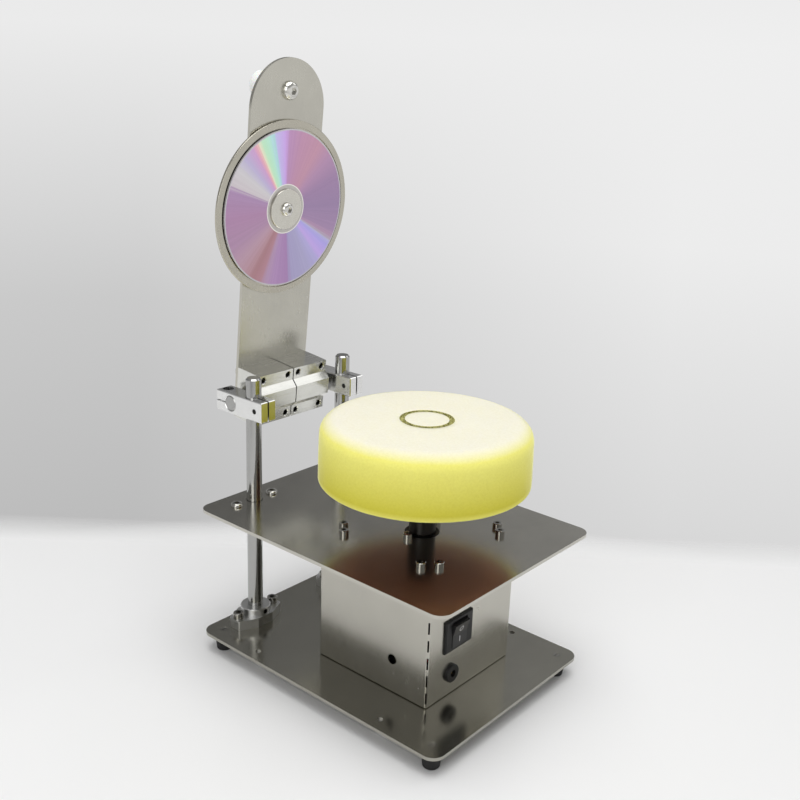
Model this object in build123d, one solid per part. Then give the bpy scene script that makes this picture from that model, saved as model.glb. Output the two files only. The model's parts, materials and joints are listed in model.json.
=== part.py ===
from build123d import *
import math
import os

# Disc repair machine: a bench-top polisher for 120 mm optical discs.
#
# A motor in a folded sheet box turns a foam pad that stands above a steel table. The disc is
# clamped on a free-turning tray on a swinging arm, which is lowered by hand until the disc lies
# on the pad. The arm turns on a cross shaft, and two clamps carry that shaft on two guide posts.
#
# Frame: origin on the surface that the feet stand on, under the middle of the base plate.
# +X right, +Y back (the posts stand at the back), +Z up. Millimetres and degrees.

# ---------------------------------------------------------------- plates, feet and levels
plate_width = 180.0
plate_depth = 240.0
plate_thickness = 2.5
plate_corner_radius = 10.0
foot_height = 14.0
foot_top_diameter = 15.0
foot_bottom_diameter = 12.0
foot_edge_radius = 1.5
foot_recess_depth = 5.8
foot_inset = 13.0
fixing_hole_diameter = 4.5
fixing_hole_inset_x = 10.0
fixing_hole_inset_y = 57.0

# ---------------------------------------------------------------- motor box
box_width = 100.0
box_depth = 106.0
box_height = 103.0
box_centre_y = -26.0
box_sheet = 1.2
box_bend_radius = 1.8
box_fold_radius = 1.5
box_flange_width = 13.5
box_mitre_gap = 1.0
bend_slot_length = 9.0
bend_slot_pitch = 14.0
bend_slot_width = 1.3
bend_slot_first = 8.5
vent_hole_diameter = 8.0
vent_hole_y = -46.5
vent_hole_height = 27.0
flange_screw_inset = 5.0
side_screw_front_inset = 14.0
side_screw_rear_inset = 19.0
end_screw_spacing = 72.0
rear_screw_inset = 10.0

# ---------------------------------------------------------------- fasteners
m3_thread = 3.0
m3_head = 5.6
m3_head_height = 1.6
m3_nut_width = 5.5
m3_nut_height = 2.4
m3_length = 13.0
m4_thread = 4.0
m4_head = 7.0
m4_head_height = 4.0
m4_key = 3.0
m4_button_height = 2.2
m4_button_key = 2.5
m4_grub_key = 2.0
m4_grub_key_depth = 2.4
m4_nut_width = 7.0
m4_nut_height = 3.2
m4_length = 8.0
m5_thread = 5.0
m5_head = 8.5
m5_head_height = 5.0
m5_key = 4.0
m5_button_head = 9.5
m5_button_height = 2.75
m5_button_key = 3.0
m5_nut_width = 8.0
m5_nut_height = 4.0
m5_length = 16.0
m6_thread = 6.0
m6_head = 10.5
m6_head_height = 3.3
m6_key = 4.0
m6_nut_width = 10.0
m6_nut_height = 5.0
m8_thread = 8.0
m8_head = 14.0
m8_head_height = 4.4
m8_key = 5.0
head_edge_share = 0.08
head_dome_share = 0.85
slot_width_share = 0.16
slot_depth_share = 0.4
screw_play = 0.25
thread_gap = 0.05

# ---------------------------------------------------------------- guide posts and supports
post_diameter = 12.0
post_edge_distance = 41.5
post_y = 101.8
post_above_table = 99.7
post_chamfer = 1.2
post_table_play = 0.5
fit_gap = 0.05
support_collar_diameter = 24.0
support_height = 14.0
support_flange_thickness = 8.0
support_flange_length = 45.0
support_flange_depth = 25.0
support_end_width = 11.0
support_shoulder = 7.5
support_edge_radius = 1.5
support_edge_chamfer = 0.6
support_hole_spacing = 36.0
set_screw_sink = 0.3

# ---------------------------------------------------------------- clamps and cross shaft
clamp_width = 15.0
clamp_front = 16.5
clamp_rear = 34.8
clamp_height = 16.0
clamp_slit = 1.4
clamp_edge_chamfer = 0.6
clamp_bore_chamfer = 0.4
clamp_screw_front = 9.0
clamp_screw_rear = 10.9
clamp_screw_length = 8.0
clamp_counterbore = 8.8
clamp_counterbore_depth = 4.4
hinge_offset = 18.4
hinge_drop = 23.4
hinge_shaft_chamfer = 0.6

# ---------------------------------------------------------------- arm, bearing blocks, bushings
arm_lean = 5.26
arm_setback = 15.0
arm_thickness = 2.5
arm_end_above_handle = 23.4
arm_corner_radius = 1.5
block_end_gap = 4.5
block_half_height = 21.0
block_front_half_height = 20.6
block_slope_rear = 4.5
block_flange_front = 9.5
block_barrel_front = 14.3
block_barrel_half_height = 6.5
block_gap = 1.0
block_hole_inset_x = 5.0
block_hole_span_z = 32.5
block_thread_depth = 13.0
block_through_diameter = 4.6
block_sink_diameter = 6.0
block_screw_length = 12.0
bushing_diameter = 21.0
bushing_end_inset = 3.0
bushing_chamfer = 0.5
bushing_ring_width = 1.1
bushing_ring_height = 1.2
bushing_ring_opening = 5.25

# ---------------------------------------------------------------- handle
handle_above_tray = 20.5
handle_diameter = 22.0
handle_length = 31.0
handle_neck_diameter = 17.0
handle_neck_length = 1.6
handle_end_radius = 2.0
handle_screw_length = 25.0
handle_bore_reserve = 1.0

# ---------------------------------------------------------------- disc, tray and pivot
tray_reach = 144.0
tray_diameter = 133.0
tray_recess_diameter = 123.0
tray_running_gap = 0.5
tray_floor = 1.0
tray_rim_height = 2.0
tray_edge_radius = 0.4
mat_diameter = 119.0
mat_thickness = 0.8
disc_diameter = 120.0
disc_bore = 15.0
disc_thickness = 1.2
disc_play = 0.05
washer_diameter = 31.0
washer_thickness = 1.5
washer_chamfer = 0.3
disc_screw_length = 8.0
disc_screw_reserve = 0.3
pivot_flange_diameter = 18.0
pivot_flange_length = 2.4
pivot_neck_diameter = 11.0
pivot_journal_diameter = 8.0
pivot_boss_sink = 0.1
pivot_thread_reserve = 1.5
pivot_hole_play = 0.5
bearing_diameter = 16.0
bearing_length = 5.0
bearing_count = 2
bearing_end_play = 0.1
housing_flange_diameter = 42.0
housing_flange_thickness = 3.0
housing_barrel_diameter = 24.0
housing_lip = 1.0
housing_screw_circle = 34.0
housing_screw_count = 4
housing_screw_reserve = 0.3

# ---------------------------------------------------------------- motor
pad_axis_y = -29.0
can_diameter = 45.0
can_length = 66.7
can_wall = 1.5
can_lid = 2.0
boss_diameter = 17.5
boss_height = 2.0
motor_screw_spacing = 33.0
motor_screw_length = 6.0
rotor_shaft_diameter = 5.0
rotor_shaft_above_boss = 17.0
rotor_shaft_chamfer = 0.4
motor_bearing_diameter = 11.0
motor_bearing_length = 6.0
magnet_thickness = 2.5
magnet_length = 48.0
magnet_gap_angle = 40.0
air_gap = 0.8
core_length = 40.0
commutator_diameter = 14.0
commutator_length = 8.0
end_cap_depth = 7.0
end_cap_floor = 1.0
terminal_width = 4.8
terminal_thickness = 0.6
terminal_length = 6.0
terminal_offset = 13.0

# ---------------------------------------------------------------- pad and hub
hub_diameter = 20.0
hub_clear_of_motor = 0.8
hub_length = 35.2
hub_chamfer = 0.8
grub_height = 8.0
hub_hole_diameter = 26.0
hub_bore_reserve = 0.6
hub_screw_length = 16.0
hub_screw_head = 11.5
backing_diameter = 100.0
backing_thickness = 6.0
pad_top_diameter = 152.0
pad_belly_diameter = 156.0
pad_bottom_diameter = 153.0
pad_belly_height = 15.5
pad_thickness = 46.4
pad_top_edge_radius = 6.0
pad_bottom_edge_radius = 2.0
pad_plug_diameter = 34.0
pad_groove_width = 3.0
pad_groove_depth = 4.0

# ---------------------------------------------------------------- switch
switch_x = -16.9
switch_height = 49.5
bezel_width = 31.0
bezel_tall = 25.5
bezel_proud = 2.0
bezel_chamfer = 0.8
switch_body_width = 27.0
switch_body_tall = 23.0
switch_body_depth = 20.0
switch_cutout_play = 0.15
switch_window_width = 17.1
switch_window_tall = 20.8
switch_window_depth = 13.0
rocker_width = 16.5
rocker_half_tall = 9.3
rocker_tilt = 8.0
rocker_axis_depth = 3.0
rocker_proud = 2.3
rocker_rear_depth = 4.0
rocker_rear_half_tall = 6.0
rocker_pin_diameter = 3.0
rocker_pin_length = 1.3
switch_tab_width = 6.3
switch_tab_thickness = 0.8
switch_tab_length = 8.0
switch_tab_spacing = 10.0
switch_tab_shift = -7.0

# ---------------------------------------------------------------- power inlet
jack_x = -22.6
jack_height = 17.9
jack_flange_diameter = 14.0
jack_flange_proud = 2.5
jack_flange_edge = 0.8
jack_barrel_diameter = 11.0
jack_barrel_length = 14.0
jack_hole_play = 0.1
jack_bore = 5.6
jack_bore_depth = 10.0
jack_pin_diameter = 2.1
jack_pin_recess = 1.5
jack_pin_nose = 0.6
jack_nut_width = 14.0
jack_nut_height = 2.5
jack_tab_width = 2.6
jack_tab_thickness = 0.5
jack_tab_length = 6.0
jack_tab_drop = 4.5

# ---------------------------------------------------------------- wires
wire_diameter = 1.8
wire_bend_share = 0.45
wire_hang = 12.0

# ---------------------------------------------------------------- levels and places worked out
base_bottom = foot_height
base_top = base_bottom + plate_thickness
table_bottom = base_top + box_height
table_top = table_bottom + plate_thickness
box_front = box_centre_y - box_depth / 2
box_rear = box_centre_y + box_depth / 2
box_inner_front = box_front + box_sheet
box_floor_top = base_top + box_sheet
box_roof_bottom = table_bottom - box_sheet
post_x = plate_width / 2 - post_edge_distance
post_top = table_top + post_above_table
hinge_y = post_y + hinge_offset
hinge_z = post_top - hinge_drop
clamp_bottom = hinge_z - clamp_height / 2
block_length = post_x - clamp_width / 2 - block_end_gap - block_gap / 2
arm_width = 2 * (block_length + block_gap / 2)
handle_reach = tray_reach + tray_diameter / 2 + handle_above_tray
arm_reach = handle_reach + arm_end_above_handle
can_top = table_bottom
can_bottom = can_top - can_length
boss_top = can_top + boss_height
hub_bottom = boss_top + hub_clear_of_motor
hub_top = hub_bottom + hub_length
pad_bottom = hub_top + backing_thickness
pad_top = pad_bottom + pad_thickness
switch_z = base_top + switch_height
jack_z = base_top + jack_height
rotor_shaft_top = boss_top + rotor_shaft_above_boss
grub_z = hub_bottom + grub_height

# arm frame: X along the cross shaft, Z along the arm, +Y to the back of the arm plate
arm_frame = Location((0, hinge_y, hinge_z), (arm_lean, 0, 0))
arm_front_face = arm_setback
arm_rear_face = arm_setback + arm_thickness
tray_rear = arm_front_face - tray_running_gap
tray_floor_face = tray_rear - tray_floor
tray_rim_face = tray_rear - tray_rim_height
mat_face = tray_floor_face - mat_thickness
disc_face = mat_face - disc_thickness
washer_face = disc_face - washer_thickness
pivot_boss_front = disc_face + pivot_boss_sink
pivot_flange_rear = tray_rear + pivot_flange_length
bearing_front = arm_rear_face + housing_lip
bearings_rear = bearing_front + bearing_count * bearing_length

BASE = (Align.CENTER, Align.CENTER, Align.MIN)


# ---------------------------------------------------------------- helpers
def cuboid(x0, x1, y0, y1, z0, z1):
    """A box between two corners."""
    return Pos((x0 + x1) / 2, (y0 + y1) / 2, (z0 + z1) / 2) * Box(x1 - x0, y1 - y0, z1 - z0)


def rod_z(diameter, bottom, top, x=0.0, y=0.0):
    """An upright cylinder."""
    return Pos(x, y, bottom) * Cylinder(diameter / 2, top - bottom, align=BASE)


def rod_y(diameter, front, rear, x=0.0, z=0.0):
    """A cylinder along Y."""
    return Pos(x, front, z) * Rot(-90, 0, 0) * Cylinder(diameter / 2, rear - front, align=BASE)


def rod_x(diameter, left, right, y=0.0, z=0.0):
    """A cylinder along X."""
    return Pos(left, y, z) * Rot(0, 90, 0) * Cylinder(diameter / 2, right - left, align=BASE)


def hexagon(width, bottom, top, turn=0.0):
    """An upright hexagonal prism, sized across its flats."""
    sketch = RegularPolygon(width / 2, 6, major_radius=False, rotation=turn)
    return Pos(0, 0, bottom) * extrude(sketch, top - bottom)


def cap_screw(thread, head, head_height, key, length):
    """Socket cap screw: the head stands on z = 0 and the thread hangs below it."""
    body = rod_z(head, 0, head_height)
    body = chamfer(body.edges().group_by(Axis.Z)[-1], head_height * head_edge_share)
    return body + rod_z(thread, -length, 0) - hexagon(key, head_height / 2, head_height)


def button_screw(thread, head, head_height, key, length):
    """Button-head screw: a low domed head on z = 0, the thread below it."""
    body = rod_z(head, 0, head_height)
    body = fillet(body.edges().group_by(Axis.Z)[-1], head_height * head_dome_share)
    return body + rod_z(thread, -length, 0) - hexagon(key, head_height / 2, head_height)


def m4_button_screw(length):
    return button_screw(m4_thread, m4_head, m4_button_height, m4_button_key, length)


def m5_button_screw(length):
    return button_screw(m5_thread, m5_button_head, m5_button_height, m5_button_key, length)


def countersunk_screw(thread, head, head_height, length):
    """Flat-head screw: its top is at z = 0."""
    cone = Pos(0, 0, -head_height) * Cone(thread / 2, head / 2, head_height, align=BASE)
    half = head * slot_width_share / 2
    slot = cuboid(-head, head, -half, half, -head_height * slot_depth_share, 0)
    return cone + rod_z(thread, -length, 0) - slot


def nut(width, height, thread, turn=0.0):
    """Hexagon nut on z = 0."""
    return hexagon(width, 0, height, turn) - rod_z(thread + 2 * thread_gap, 0, height)


def clearance(thread):
    """Diameter of the hole that a screw passes through."""
    return thread + 2 * screw_play


def tapped(thread):
    """Diameter of the hole that a thread is in."""
    return thread + 2 * thread_gap


def group(solids):
    """Separate solids that share one node."""
    return Compound(children=list(solids))


def rounded_plate(bottom):
    """A steel plate of the machine with rounded corners."""
    outline = RectangleRounded(plate_width, plate_depth, plate_corner_radius)
    return Pos(0, 0, bottom) * extrude(outline, plate_thickness)


# ---------------------------------------------------------------- hole patterns
def foot_places():
    x = plate_width / 2 - foot_inset
    y = plate_depth / 2 - foot_inset
    return [(-x, -y), (x, -y), (-x, y), (x, y)]


def fixing_places():
    x = plate_width / 2 - fixing_hole_inset_x
    y = plate_depth / 2 - fixing_hole_inset_y
    return [(-x, -y), (x, -y), (-x, y), (x, y)]


def side_screw_places():
    """Screws through the flanges of the box's side walls, held by nuts."""
    x = box_width / 2 - flange_screw_inset
    front = box_front + side_screw_front_inset
    rear = box_rear - side_screw_rear_inset
    return [(-x, front), (x, front), (-x, rear), (x, rear)]


def end_screw_places():
    """Screws through the flanges of the box's front and rear walls."""
    x = end_screw_spacing / 2
    front = box_front + flange_screw_inset
    rear = box_rear - rear_screw_inset
    return [(-x, front), (x, front), (-x, rear), (x, rear)]


def box_screw_places():
    return side_screw_places() + end_screw_places()


def motor_screw_places():
    half = motor_screw_spacing / 2
    return [(-half, pad_axis_y), (half, pad_axis_y)]


def support_screw_places():
    half = support_hole_spacing / 2
    return [(side * post_x + step, post_y) for side in (-1, 1) for step in (-half, half)]


def holes(places, diameter, bottom, top):
    """Cylinders to cut at a list of places."""
    return [rod_z(diameter, bottom, top, x, y) for x, y in places]


# ---------------------------------------------------------------- base and table
def base_plate():
    plate = rounded_plate(base_bottom)
    cuts = holes(fixing_places(), fixing_hole_diameter, base_bottom, base_top)
    cuts += holes(foot_places(), clearance(m3_thread), base_bottom, base_top)
    cuts += holes(box_screw_places(), clearance(m4_thread), base_bottom, base_top)
    cuts += holes(support_screw_places(), clearance(m5_thread), base_bottom, base_top)
    sink = m3_head + 2 * screw_play
    depth = m3_head_height + screw_play / 2
    for x, y in foot_places():
        cone = Cone(m3_thread / 2 + screw_play, sink / 2, depth, align=BASE)
        cuts.append(Pos(x, y, base_top - depth) * cone)
    return plate - cuts


def table_plate():
    plate = rounded_plate(table_bottom)
    cuts = holes(box_screw_places(), clearance(m4_thread), table_bottom, table_top)
    cuts += holes(motor_screw_places(), clearance(m4_thread), table_bottom, table_top)
    cuts += holes(support_screw_places(), clearance(m5_thread), table_bottom, table_top)
    post_places = [(-post_x, post_y), (post_x, post_y)]
    cuts += holes(post_places, post_diameter + 2 * post_table_play, table_bottom, table_top)
    cuts.append(rod_z(hub_hole_diameter, table_bottom, table_top, 0, pad_axis_y))
    return plate - cuts


foot_recess_diameter = m3_nut_width / math.cos(math.radians(30)) + 2 * fit_gap


def rubber_foot():
    body = Cone(foot_bottom_diameter / 2, foot_top_diameter / 2, foot_height, align=BASE)
    body = fillet(body.edges().group_by(Axis.Z)[0], foot_edge_radius)
    body -= rod_z(clearance(m3_thread), 0, foot_height)
    return body - rod_z(foot_recess_diameter, 0, foot_recess_depth)


def rubber_feet():
    return group(Pos(x, y, 0) * rubber_foot() for x, y in foot_places())


def foot_fasteners():
    """A countersunk screw from the top of the base plate and a nut inside each foot."""
    pieces = []
    for x, y in foot_places():
        screw = countersunk_screw(m3_thread, m3_head, m3_head_height, m3_length)
        pieces.append(Pos(x, y, base_top) * screw)
        nut_bottom = foot_recess_depth - m3_nut_height
        pieces.append(Pos(x, y, nut_bottom) * nut(m3_nut_width, m3_nut_height, m3_thread))
    return group(pieces)


# ---------------------------------------------------------------- motor box
def bend_slots():
    """The slots along each upright bend, which let the sheet fold by hand."""
    radial = 4 * (box_sheet + box_bend_radius)
    slot = Box(radial, bend_slot_width, bend_slot_length)
    cuts = []
    height = bend_slot_first
    while height + bend_slot_length / 2 < box_height - box_sheet:
        for side_x in (-1, 1):
            for side_y in (-1, 1):
                x = side_x * (box_width / 2 - box_sheet / 2)
                y = box_centre_y + side_y * (box_depth / 2 - box_sheet / 2)
                place = Pos(x, y, base_top + height) * Rot(0, 0, 45 * side_x * side_y)
                cuts.append(place * slot)
        height += bend_slot_pitch
    return cuts


def box_shell():
    """Four folded walls with lips turned inwards at both ends, parted at the corners."""
    outer = RectangleRounded(box_width, box_depth, box_bend_radius)
    inner = RectangleRounded(
        box_width - 2 * box_sheet, box_depth - 2 * box_sheet, box_bend_radius - box_sheet
    )
    shell = Pos(0, box_centre_y, base_top) * extrude(outer, box_height)
    levels = shell.edges().group_by(Axis.Z)
    shell = fillet(levels[0] + levels[-1], box_fold_radius)
    shell -= Pos(0, box_centre_y, box_floor_top) * extrude(inner, box_roof_bottom - box_floor_top)
    window_x = box_width / 2 - box_flange_width
    window_y = box_depth / 2 - box_flange_width
    shell -= Pos(0, box_centre_y, base_top) * extrude(Rectangle(2 * window_x, 2 * window_y), box_height)
    reach = box_flange_width * math.sqrt(2)
    mitre = Box(reach, box_mitre_gap, box_sheet)
    for side_x in (-1, 1):
        for side_y in (-1, 1):
            x = side_x * (window_x + box_flange_width / 2 - box_sheet)
            y = box_centre_y + side_y * (window_y + box_flange_width / 2 - box_sheet)
            for bottom in (base_top, box_roof_bottom):
                shell -= Pos(x, y, bottom + box_sheet / 2) * Rot(0, 0, 45 * side_x * side_y) * mitre
    return shell


def motor_box():
    cuts = bend_slots()
    cuts += holes(box_screw_places(), clearance(m4_thread), base_top, box_floor_top)
    cuts += holes(box_screw_places(), clearance(m4_thread), box_roof_bottom, table_bottom)
    left = -box_width / 2
    cuts.append(rod_x(vent_hole_diameter, left, left + box_sheet, vent_hole_y, base_top + vent_hole_height))
    cut_x = switch_body_width / 2 + switch_cutout_play
    cut_z = switch_body_tall / 2 + switch_cutout_play
    cuts.append(cuboid(
        switch_x - cut_x, switch_x + cut_x, box_front, box_inner_front,
        switch_z - cut_z, switch_z + cut_z,
    ))
    jack_hole = jack_barrel_diameter + 2 * jack_hole_play
    cuts.append(rod_y(jack_hole, box_front, box_inner_front, jack_x, jack_z))
    return box_shell() - cuts


def m4_screw():
    return cap_screw(m4_thread, m4_head, m4_head_height, m4_key, m4_length)


def box_nut(x, y, bottom):
    """Nuts keep a flat towards the wall beside them: side walls at the larger x."""
    turn = 30.0 if abs(x) > end_screw_spacing / 2 else 0.0
    return Pos(x, y, bottom) * nut(m4_nut_width, m4_nut_height, m4_thread, turn)


def box_base_fasteners():
    """Screws from under the base plate, with nuts on the bottom flanges."""
    pieces = []
    for x, y in box_screw_places():
        pieces.append(Pos(x, y, base_bottom) * Rot(180, 0, 0) * m4_screw())
        pieces.append(box_nut(x, y, box_floor_top))
    return group(pieces)


def box_top_fasteners():
    """Screws from the top of the table, with nuts under the top flanges."""
    pieces = []
    for x, y in box_screw_places():
        pieces.append(Pos(x, y, table_top) * m4_screw())
        pieces.append(box_nut(x, y, box_roof_bottom - m4_nut_height))
    return group(pieces)


# ---------------------------------------------------------------- motor
def motor_screws():
    """Two screws through the table into the lid of the motor."""
    screw = cap_screw(m4_thread, m4_head, m4_head_height, m4_key, motor_screw_length)
    return group(Pos(x, y, table_top) * screw for x, y in motor_screw_places())


def motor_can():
    can = rod_z(can_diameter, can_bottom, can_top)
    can -= rod_z(can_diameter - 2 * can_wall, can_bottom, can_top - can_lid)
    seat_bottom = boss_top - motor_bearing_length
    can += rod_z(boss_diameter, seat_bottom, boss_top)
    can -= rod_z(motor_bearing_diameter + 2 * thread_gap, seat_bottom, boss_top)
    can = Pos(0, pad_axis_y, 0) * can
    return can - holes(motor_screw_places(), tapped(m4_thread), can_top - can_lid, can_top)


magnet_outer = can_diameter - 2 * can_wall - 2 * thread_gap
magnet_inner = magnet_outer - 2 * magnet_thickness
core_diameter = magnet_inner - 2 * air_gap
magnet_top = can_top - can_lid - (can_length - can_lid - end_cap_depth - magnet_length) / 2
magnet_bottom = magnet_top - magnet_length


def motor_magnets():
    ring = rod_z(magnet_outer, magnet_bottom, magnet_top) - rod_z(magnet_inner, magnet_bottom, magnet_top)
    gap = magnet_outer * math.sin(math.radians(magnet_gap_angle / 2))
    ring -= cuboid(-gap / 2, gap / 2, -magnet_outer, magnet_outer, magnet_bottom, magnet_top)
    return group(Pos(0, pad_axis_y, 0) * solid for solid in ring.solids())


def motor_end_cap():
    cap = rod_z(magnet_outer, can_bottom, can_bottom + end_cap_depth)
    seat = motor_bearing_diameter + 2 * thread_gap
    cap -= rod_z(seat, can_bottom + end_cap_floor, can_bottom + end_cap_depth)
    cap = Pos(0, pad_axis_y, 0) * cap
    for side in (-1, 1):
        cap -= terminal_blade(side, terminal_width + 2 * thread_gap, terminal_thickness + 2 * thread_gap)
    return cap


def terminal_blade(side, width, thickness):
    """A flat tab that hangs out of the end cap."""
    x = side * terminal_offset
    bottom = can_bottom - terminal_length
    top = can_bottom + end_cap_depth
    return cuboid(
        x - thickness / 2, x + thickness / 2, pad_axis_y - width / 2, pad_axis_y + width / 2, bottom, top
    )


def motor_bearings():
    bore = rotor_shaft_diameter + 2 * fit_gap
    pieces = []
    lower = can_bottom + end_cap_depth - motor_bearing_length
    for bottom in (lower, boss_top - motor_bearing_length):
        ring = rod_z(motor_bearing_diameter, bottom, bottom + motor_bearing_length)
        pieces.append(Pos(0, pad_axis_y, 0) * (ring - rod_z(bore, bottom, bottom + motor_bearing_length)))
    return group(pieces)


def rotor_shaft():
    bottom = can_bottom + end_cap_depth - motor_bearing_length + thread_gap
    shaft = rod_z(rotor_shaft_diameter, bottom, rotor_shaft_top, 0, pad_axis_y)
    return chamfer(shaft.edges().group_by(Axis.Z)[-1], rotor_shaft_chamfer)


def rotor_core():
    """The wound core and its commutator, on the rotor shaft."""
    middle = (magnet_bottom + magnet_top) / 2
    core_bottom = middle - core_length / 2
    body = rod_z(core_diameter, core_bottom, core_bottom + core_length)
    body += rod_z(commutator_diameter, core_bottom - commutator_length, core_bottom)
    bore = rotor_shaft_diameter + 2 * thread_gap
    body -= rod_z(bore, core_bottom - commutator_length, core_bottom + core_length)
    return Pos(0, pad_axis_y, 0) * body


# ---------------------------------------------------------------- hub, backing plate and pad
def pad_hub():
    hub = rod_z(hub_diameter, hub_bottom, hub_top)
    hub = chamfer(hub.edges().group_by(Axis.Z)[0], hub_chamfer)
    hub -= rod_z(rotor_shaft_diameter + 2 * thread_gap, hub_bottom, rotor_shaft_top + hub_bore_reserve)
    hub -= rod_z(tapped(m6_thread), pad_bottom - hub_screw_length - hub_bore_reserve, hub_top)
    hub -= rod_y(tapped(m4_thread), 0, hub_diameter / 2, 0, grub_z)
    return Pos(0, pad_axis_y, 0) * hub


def hub_screws():
    """The grub screw that grips the motor shaft and the screw that holds the backing plate."""
    tip = rotor_shaft_diameter / 2 + thread_gap
    rear = hub_diameter / 2 - set_screw_sink
    grub = rod_y(m4_thread, tip, rear, 0, grub_z)
    grub -= rod_y(m4_grub_key, rear - m4_grub_key_depth, rear, 0, grub_z)
    centre = countersunk_screw(m6_thread, hub_screw_head, m6_head_height, hub_screw_length)
    return group([Pos(0, pad_axis_y, 0) * grub, Pos(0, pad_axis_y, pad_bottom) * centre])


def backing_plate():
    plate = rod_z(backing_diameter, hub_top, pad_bottom)
    plate -= rod_z(clearance(m6_thread), hub_top, pad_bottom)
    sink = hub_screw_head / 2 + screw_play
    plate -= Pos(0, 0, pad_bottom - m6_head_height) * Cone(
        m6_thread / 2 + screw_play, sink, m6_head_height, align=BASE
    )
    return Pos(0, pad_axis_y, 0) * plate


def polishing_pad():
    """The foam pad: a thick wheel with a slightly swollen side and a ring groove on top."""
    middle = pad_bottom + pad_belly_height
    side = ThreePointArc(
        (pad_bottom_diameter / 2, 0, pad_bottom),
        (pad_belly_diameter / 2, 0, middle),
        (pad_top_diameter / 2, 0, pad_top),
    )
    outline = [
        Line((0, 0, pad_top), (0, 0, pad_bottom)),
        Line((0, 0, pad_bottom), (pad_bottom_diameter / 2, 0, pad_bottom)),
        side,
        Line((pad_top_diameter / 2, 0, pad_top), (0, 0, pad_top)),
    ]
    pad = revolve(make_face(outline), Axis.Z)
    pad = fillet(pad.edges().filter_by(GeomType.CIRCLE).sort_by(Axis.Z)[-1], pad_top_edge_radius)
    pad = fillet(pad.edges().filter_by(GeomType.CIRCLE).sort_by(Axis.Z)[0], pad_bottom_edge_radius)
    groove_outer = pad_plug_diameter + 2 * pad_groove_width
    groove = rod_z(groove_outer, pad_top - pad_groove_depth, pad_top)
    groove -= rod_z(pad_plug_diameter, pad_top - pad_groove_depth, pad_top)
    return Pos(0, pad_axis_y, 0) * (pad - groove)


# ---------------------------------------------------------------- guide posts and their supports
def shaft_support():
    """Flanged collar for a post: flange on z = 0, collar above it."""
    half = support_flange_length / 2
    end = support_end_width / 2
    mid = support_flange_depth / 2
    outline = [
        (-half, -end),
        (-support_shoulder, -mid),
        (support_shoulder, -mid),
        (half, -end),
        (half, end),
        (support_shoulder, mid),
        (-support_shoulder, mid),
        (-half, end),
    ]
    body = extrude(Polygon(*outline, align=None), support_flange_thickness)
    body = fillet(body.edges().filter_by(Axis.Z), support_edge_radius)
    body += rod_z(support_collar_diameter, 0, support_height)
    rim = body.edges().filter_by(GeomType.CIRCLE).group_by(Axis.Z)[-1]
    body = chamfer(rim, support_edge_chamfer)
    body -= rod_z(post_diameter + 2 * fit_gap, 0, support_height)
    reach = support_hole_spacing / 2
    body -= holes([(-reach, 0), (reach, 0)], clearance(m5_thread), 0, support_flange_thickness)
    return body - rod_y(tapped(m4_thread), -support_collar_diameter / 2, 0, 0, set_screw_height())


def set_screw_height():
    return (support_flange_thickness + support_height) / 2


def set_screw():
    front = -support_collar_diameter / 2 + set_screw_sink
    tip = -post_diameter / 2 - fit_gap
    screw = rod_y(m4_thread, front, tip, 0, set_screw_height())
    return screw - rod_y(m4_grub_key, front, front + m4_grub_key_depth, 0, set_screw_height())


def base_support_place(side):
    return Pos(side * post_x, post_y, base_top)


def table_support_place(side):
    """Hangs under the table with its flange upwards and its set screw to the front."""
    return Pos(side * post_x, post_y, table_bottom) * Rot(0, 180, 0)


def support_set_screws():
    places = [base_support_place(side) for side in (-1, 1)]
    places += [table_support_place(side) for side in (-1, 1)]
    return group(place * set_screw() for place in places)


def m5_nut(x, y, bottom):
    return Pos(x, y, bottom) * nut(m5_nut_width, m5_nut_height, m5_thread)


def base_support_fasteners():
    """Cap screws down through the flanges, with nuts under the base plate."""
    screw = cap_screw(m5_thread, m5_head, m5_head_height, m5_key, m5_length)
    pieces = []
    for x, y in support_screw_places():
        pieces.append(Pos(x, y, base_top + support_flange_thickness) * screw)
        pieces.append(m5_nut(x, y, base_bottom - m5_nut_height))
    return group(pieces)


def table_support_fasteners():
    """Button-head screws from the top of the table, with nuts under the flanges."""
    screw = m5_button_screw(m5_length)
    pieces = []
    for x, y in support_screw_places():
        pieces.append(Pos(x, y, table_top) * screw)
        pieces.append(m5_nut(x, y, table_bottom - support_flange_thickness - m5_nut_height))
    return group(pieces)


def guide_post(side):
    post = rod_z(post_diameter, base_top, post_top, side * post_x, post_y)
    return chamfer(post.edges().group_by(Axis.Z)[-1], post_chamfer)


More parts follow.
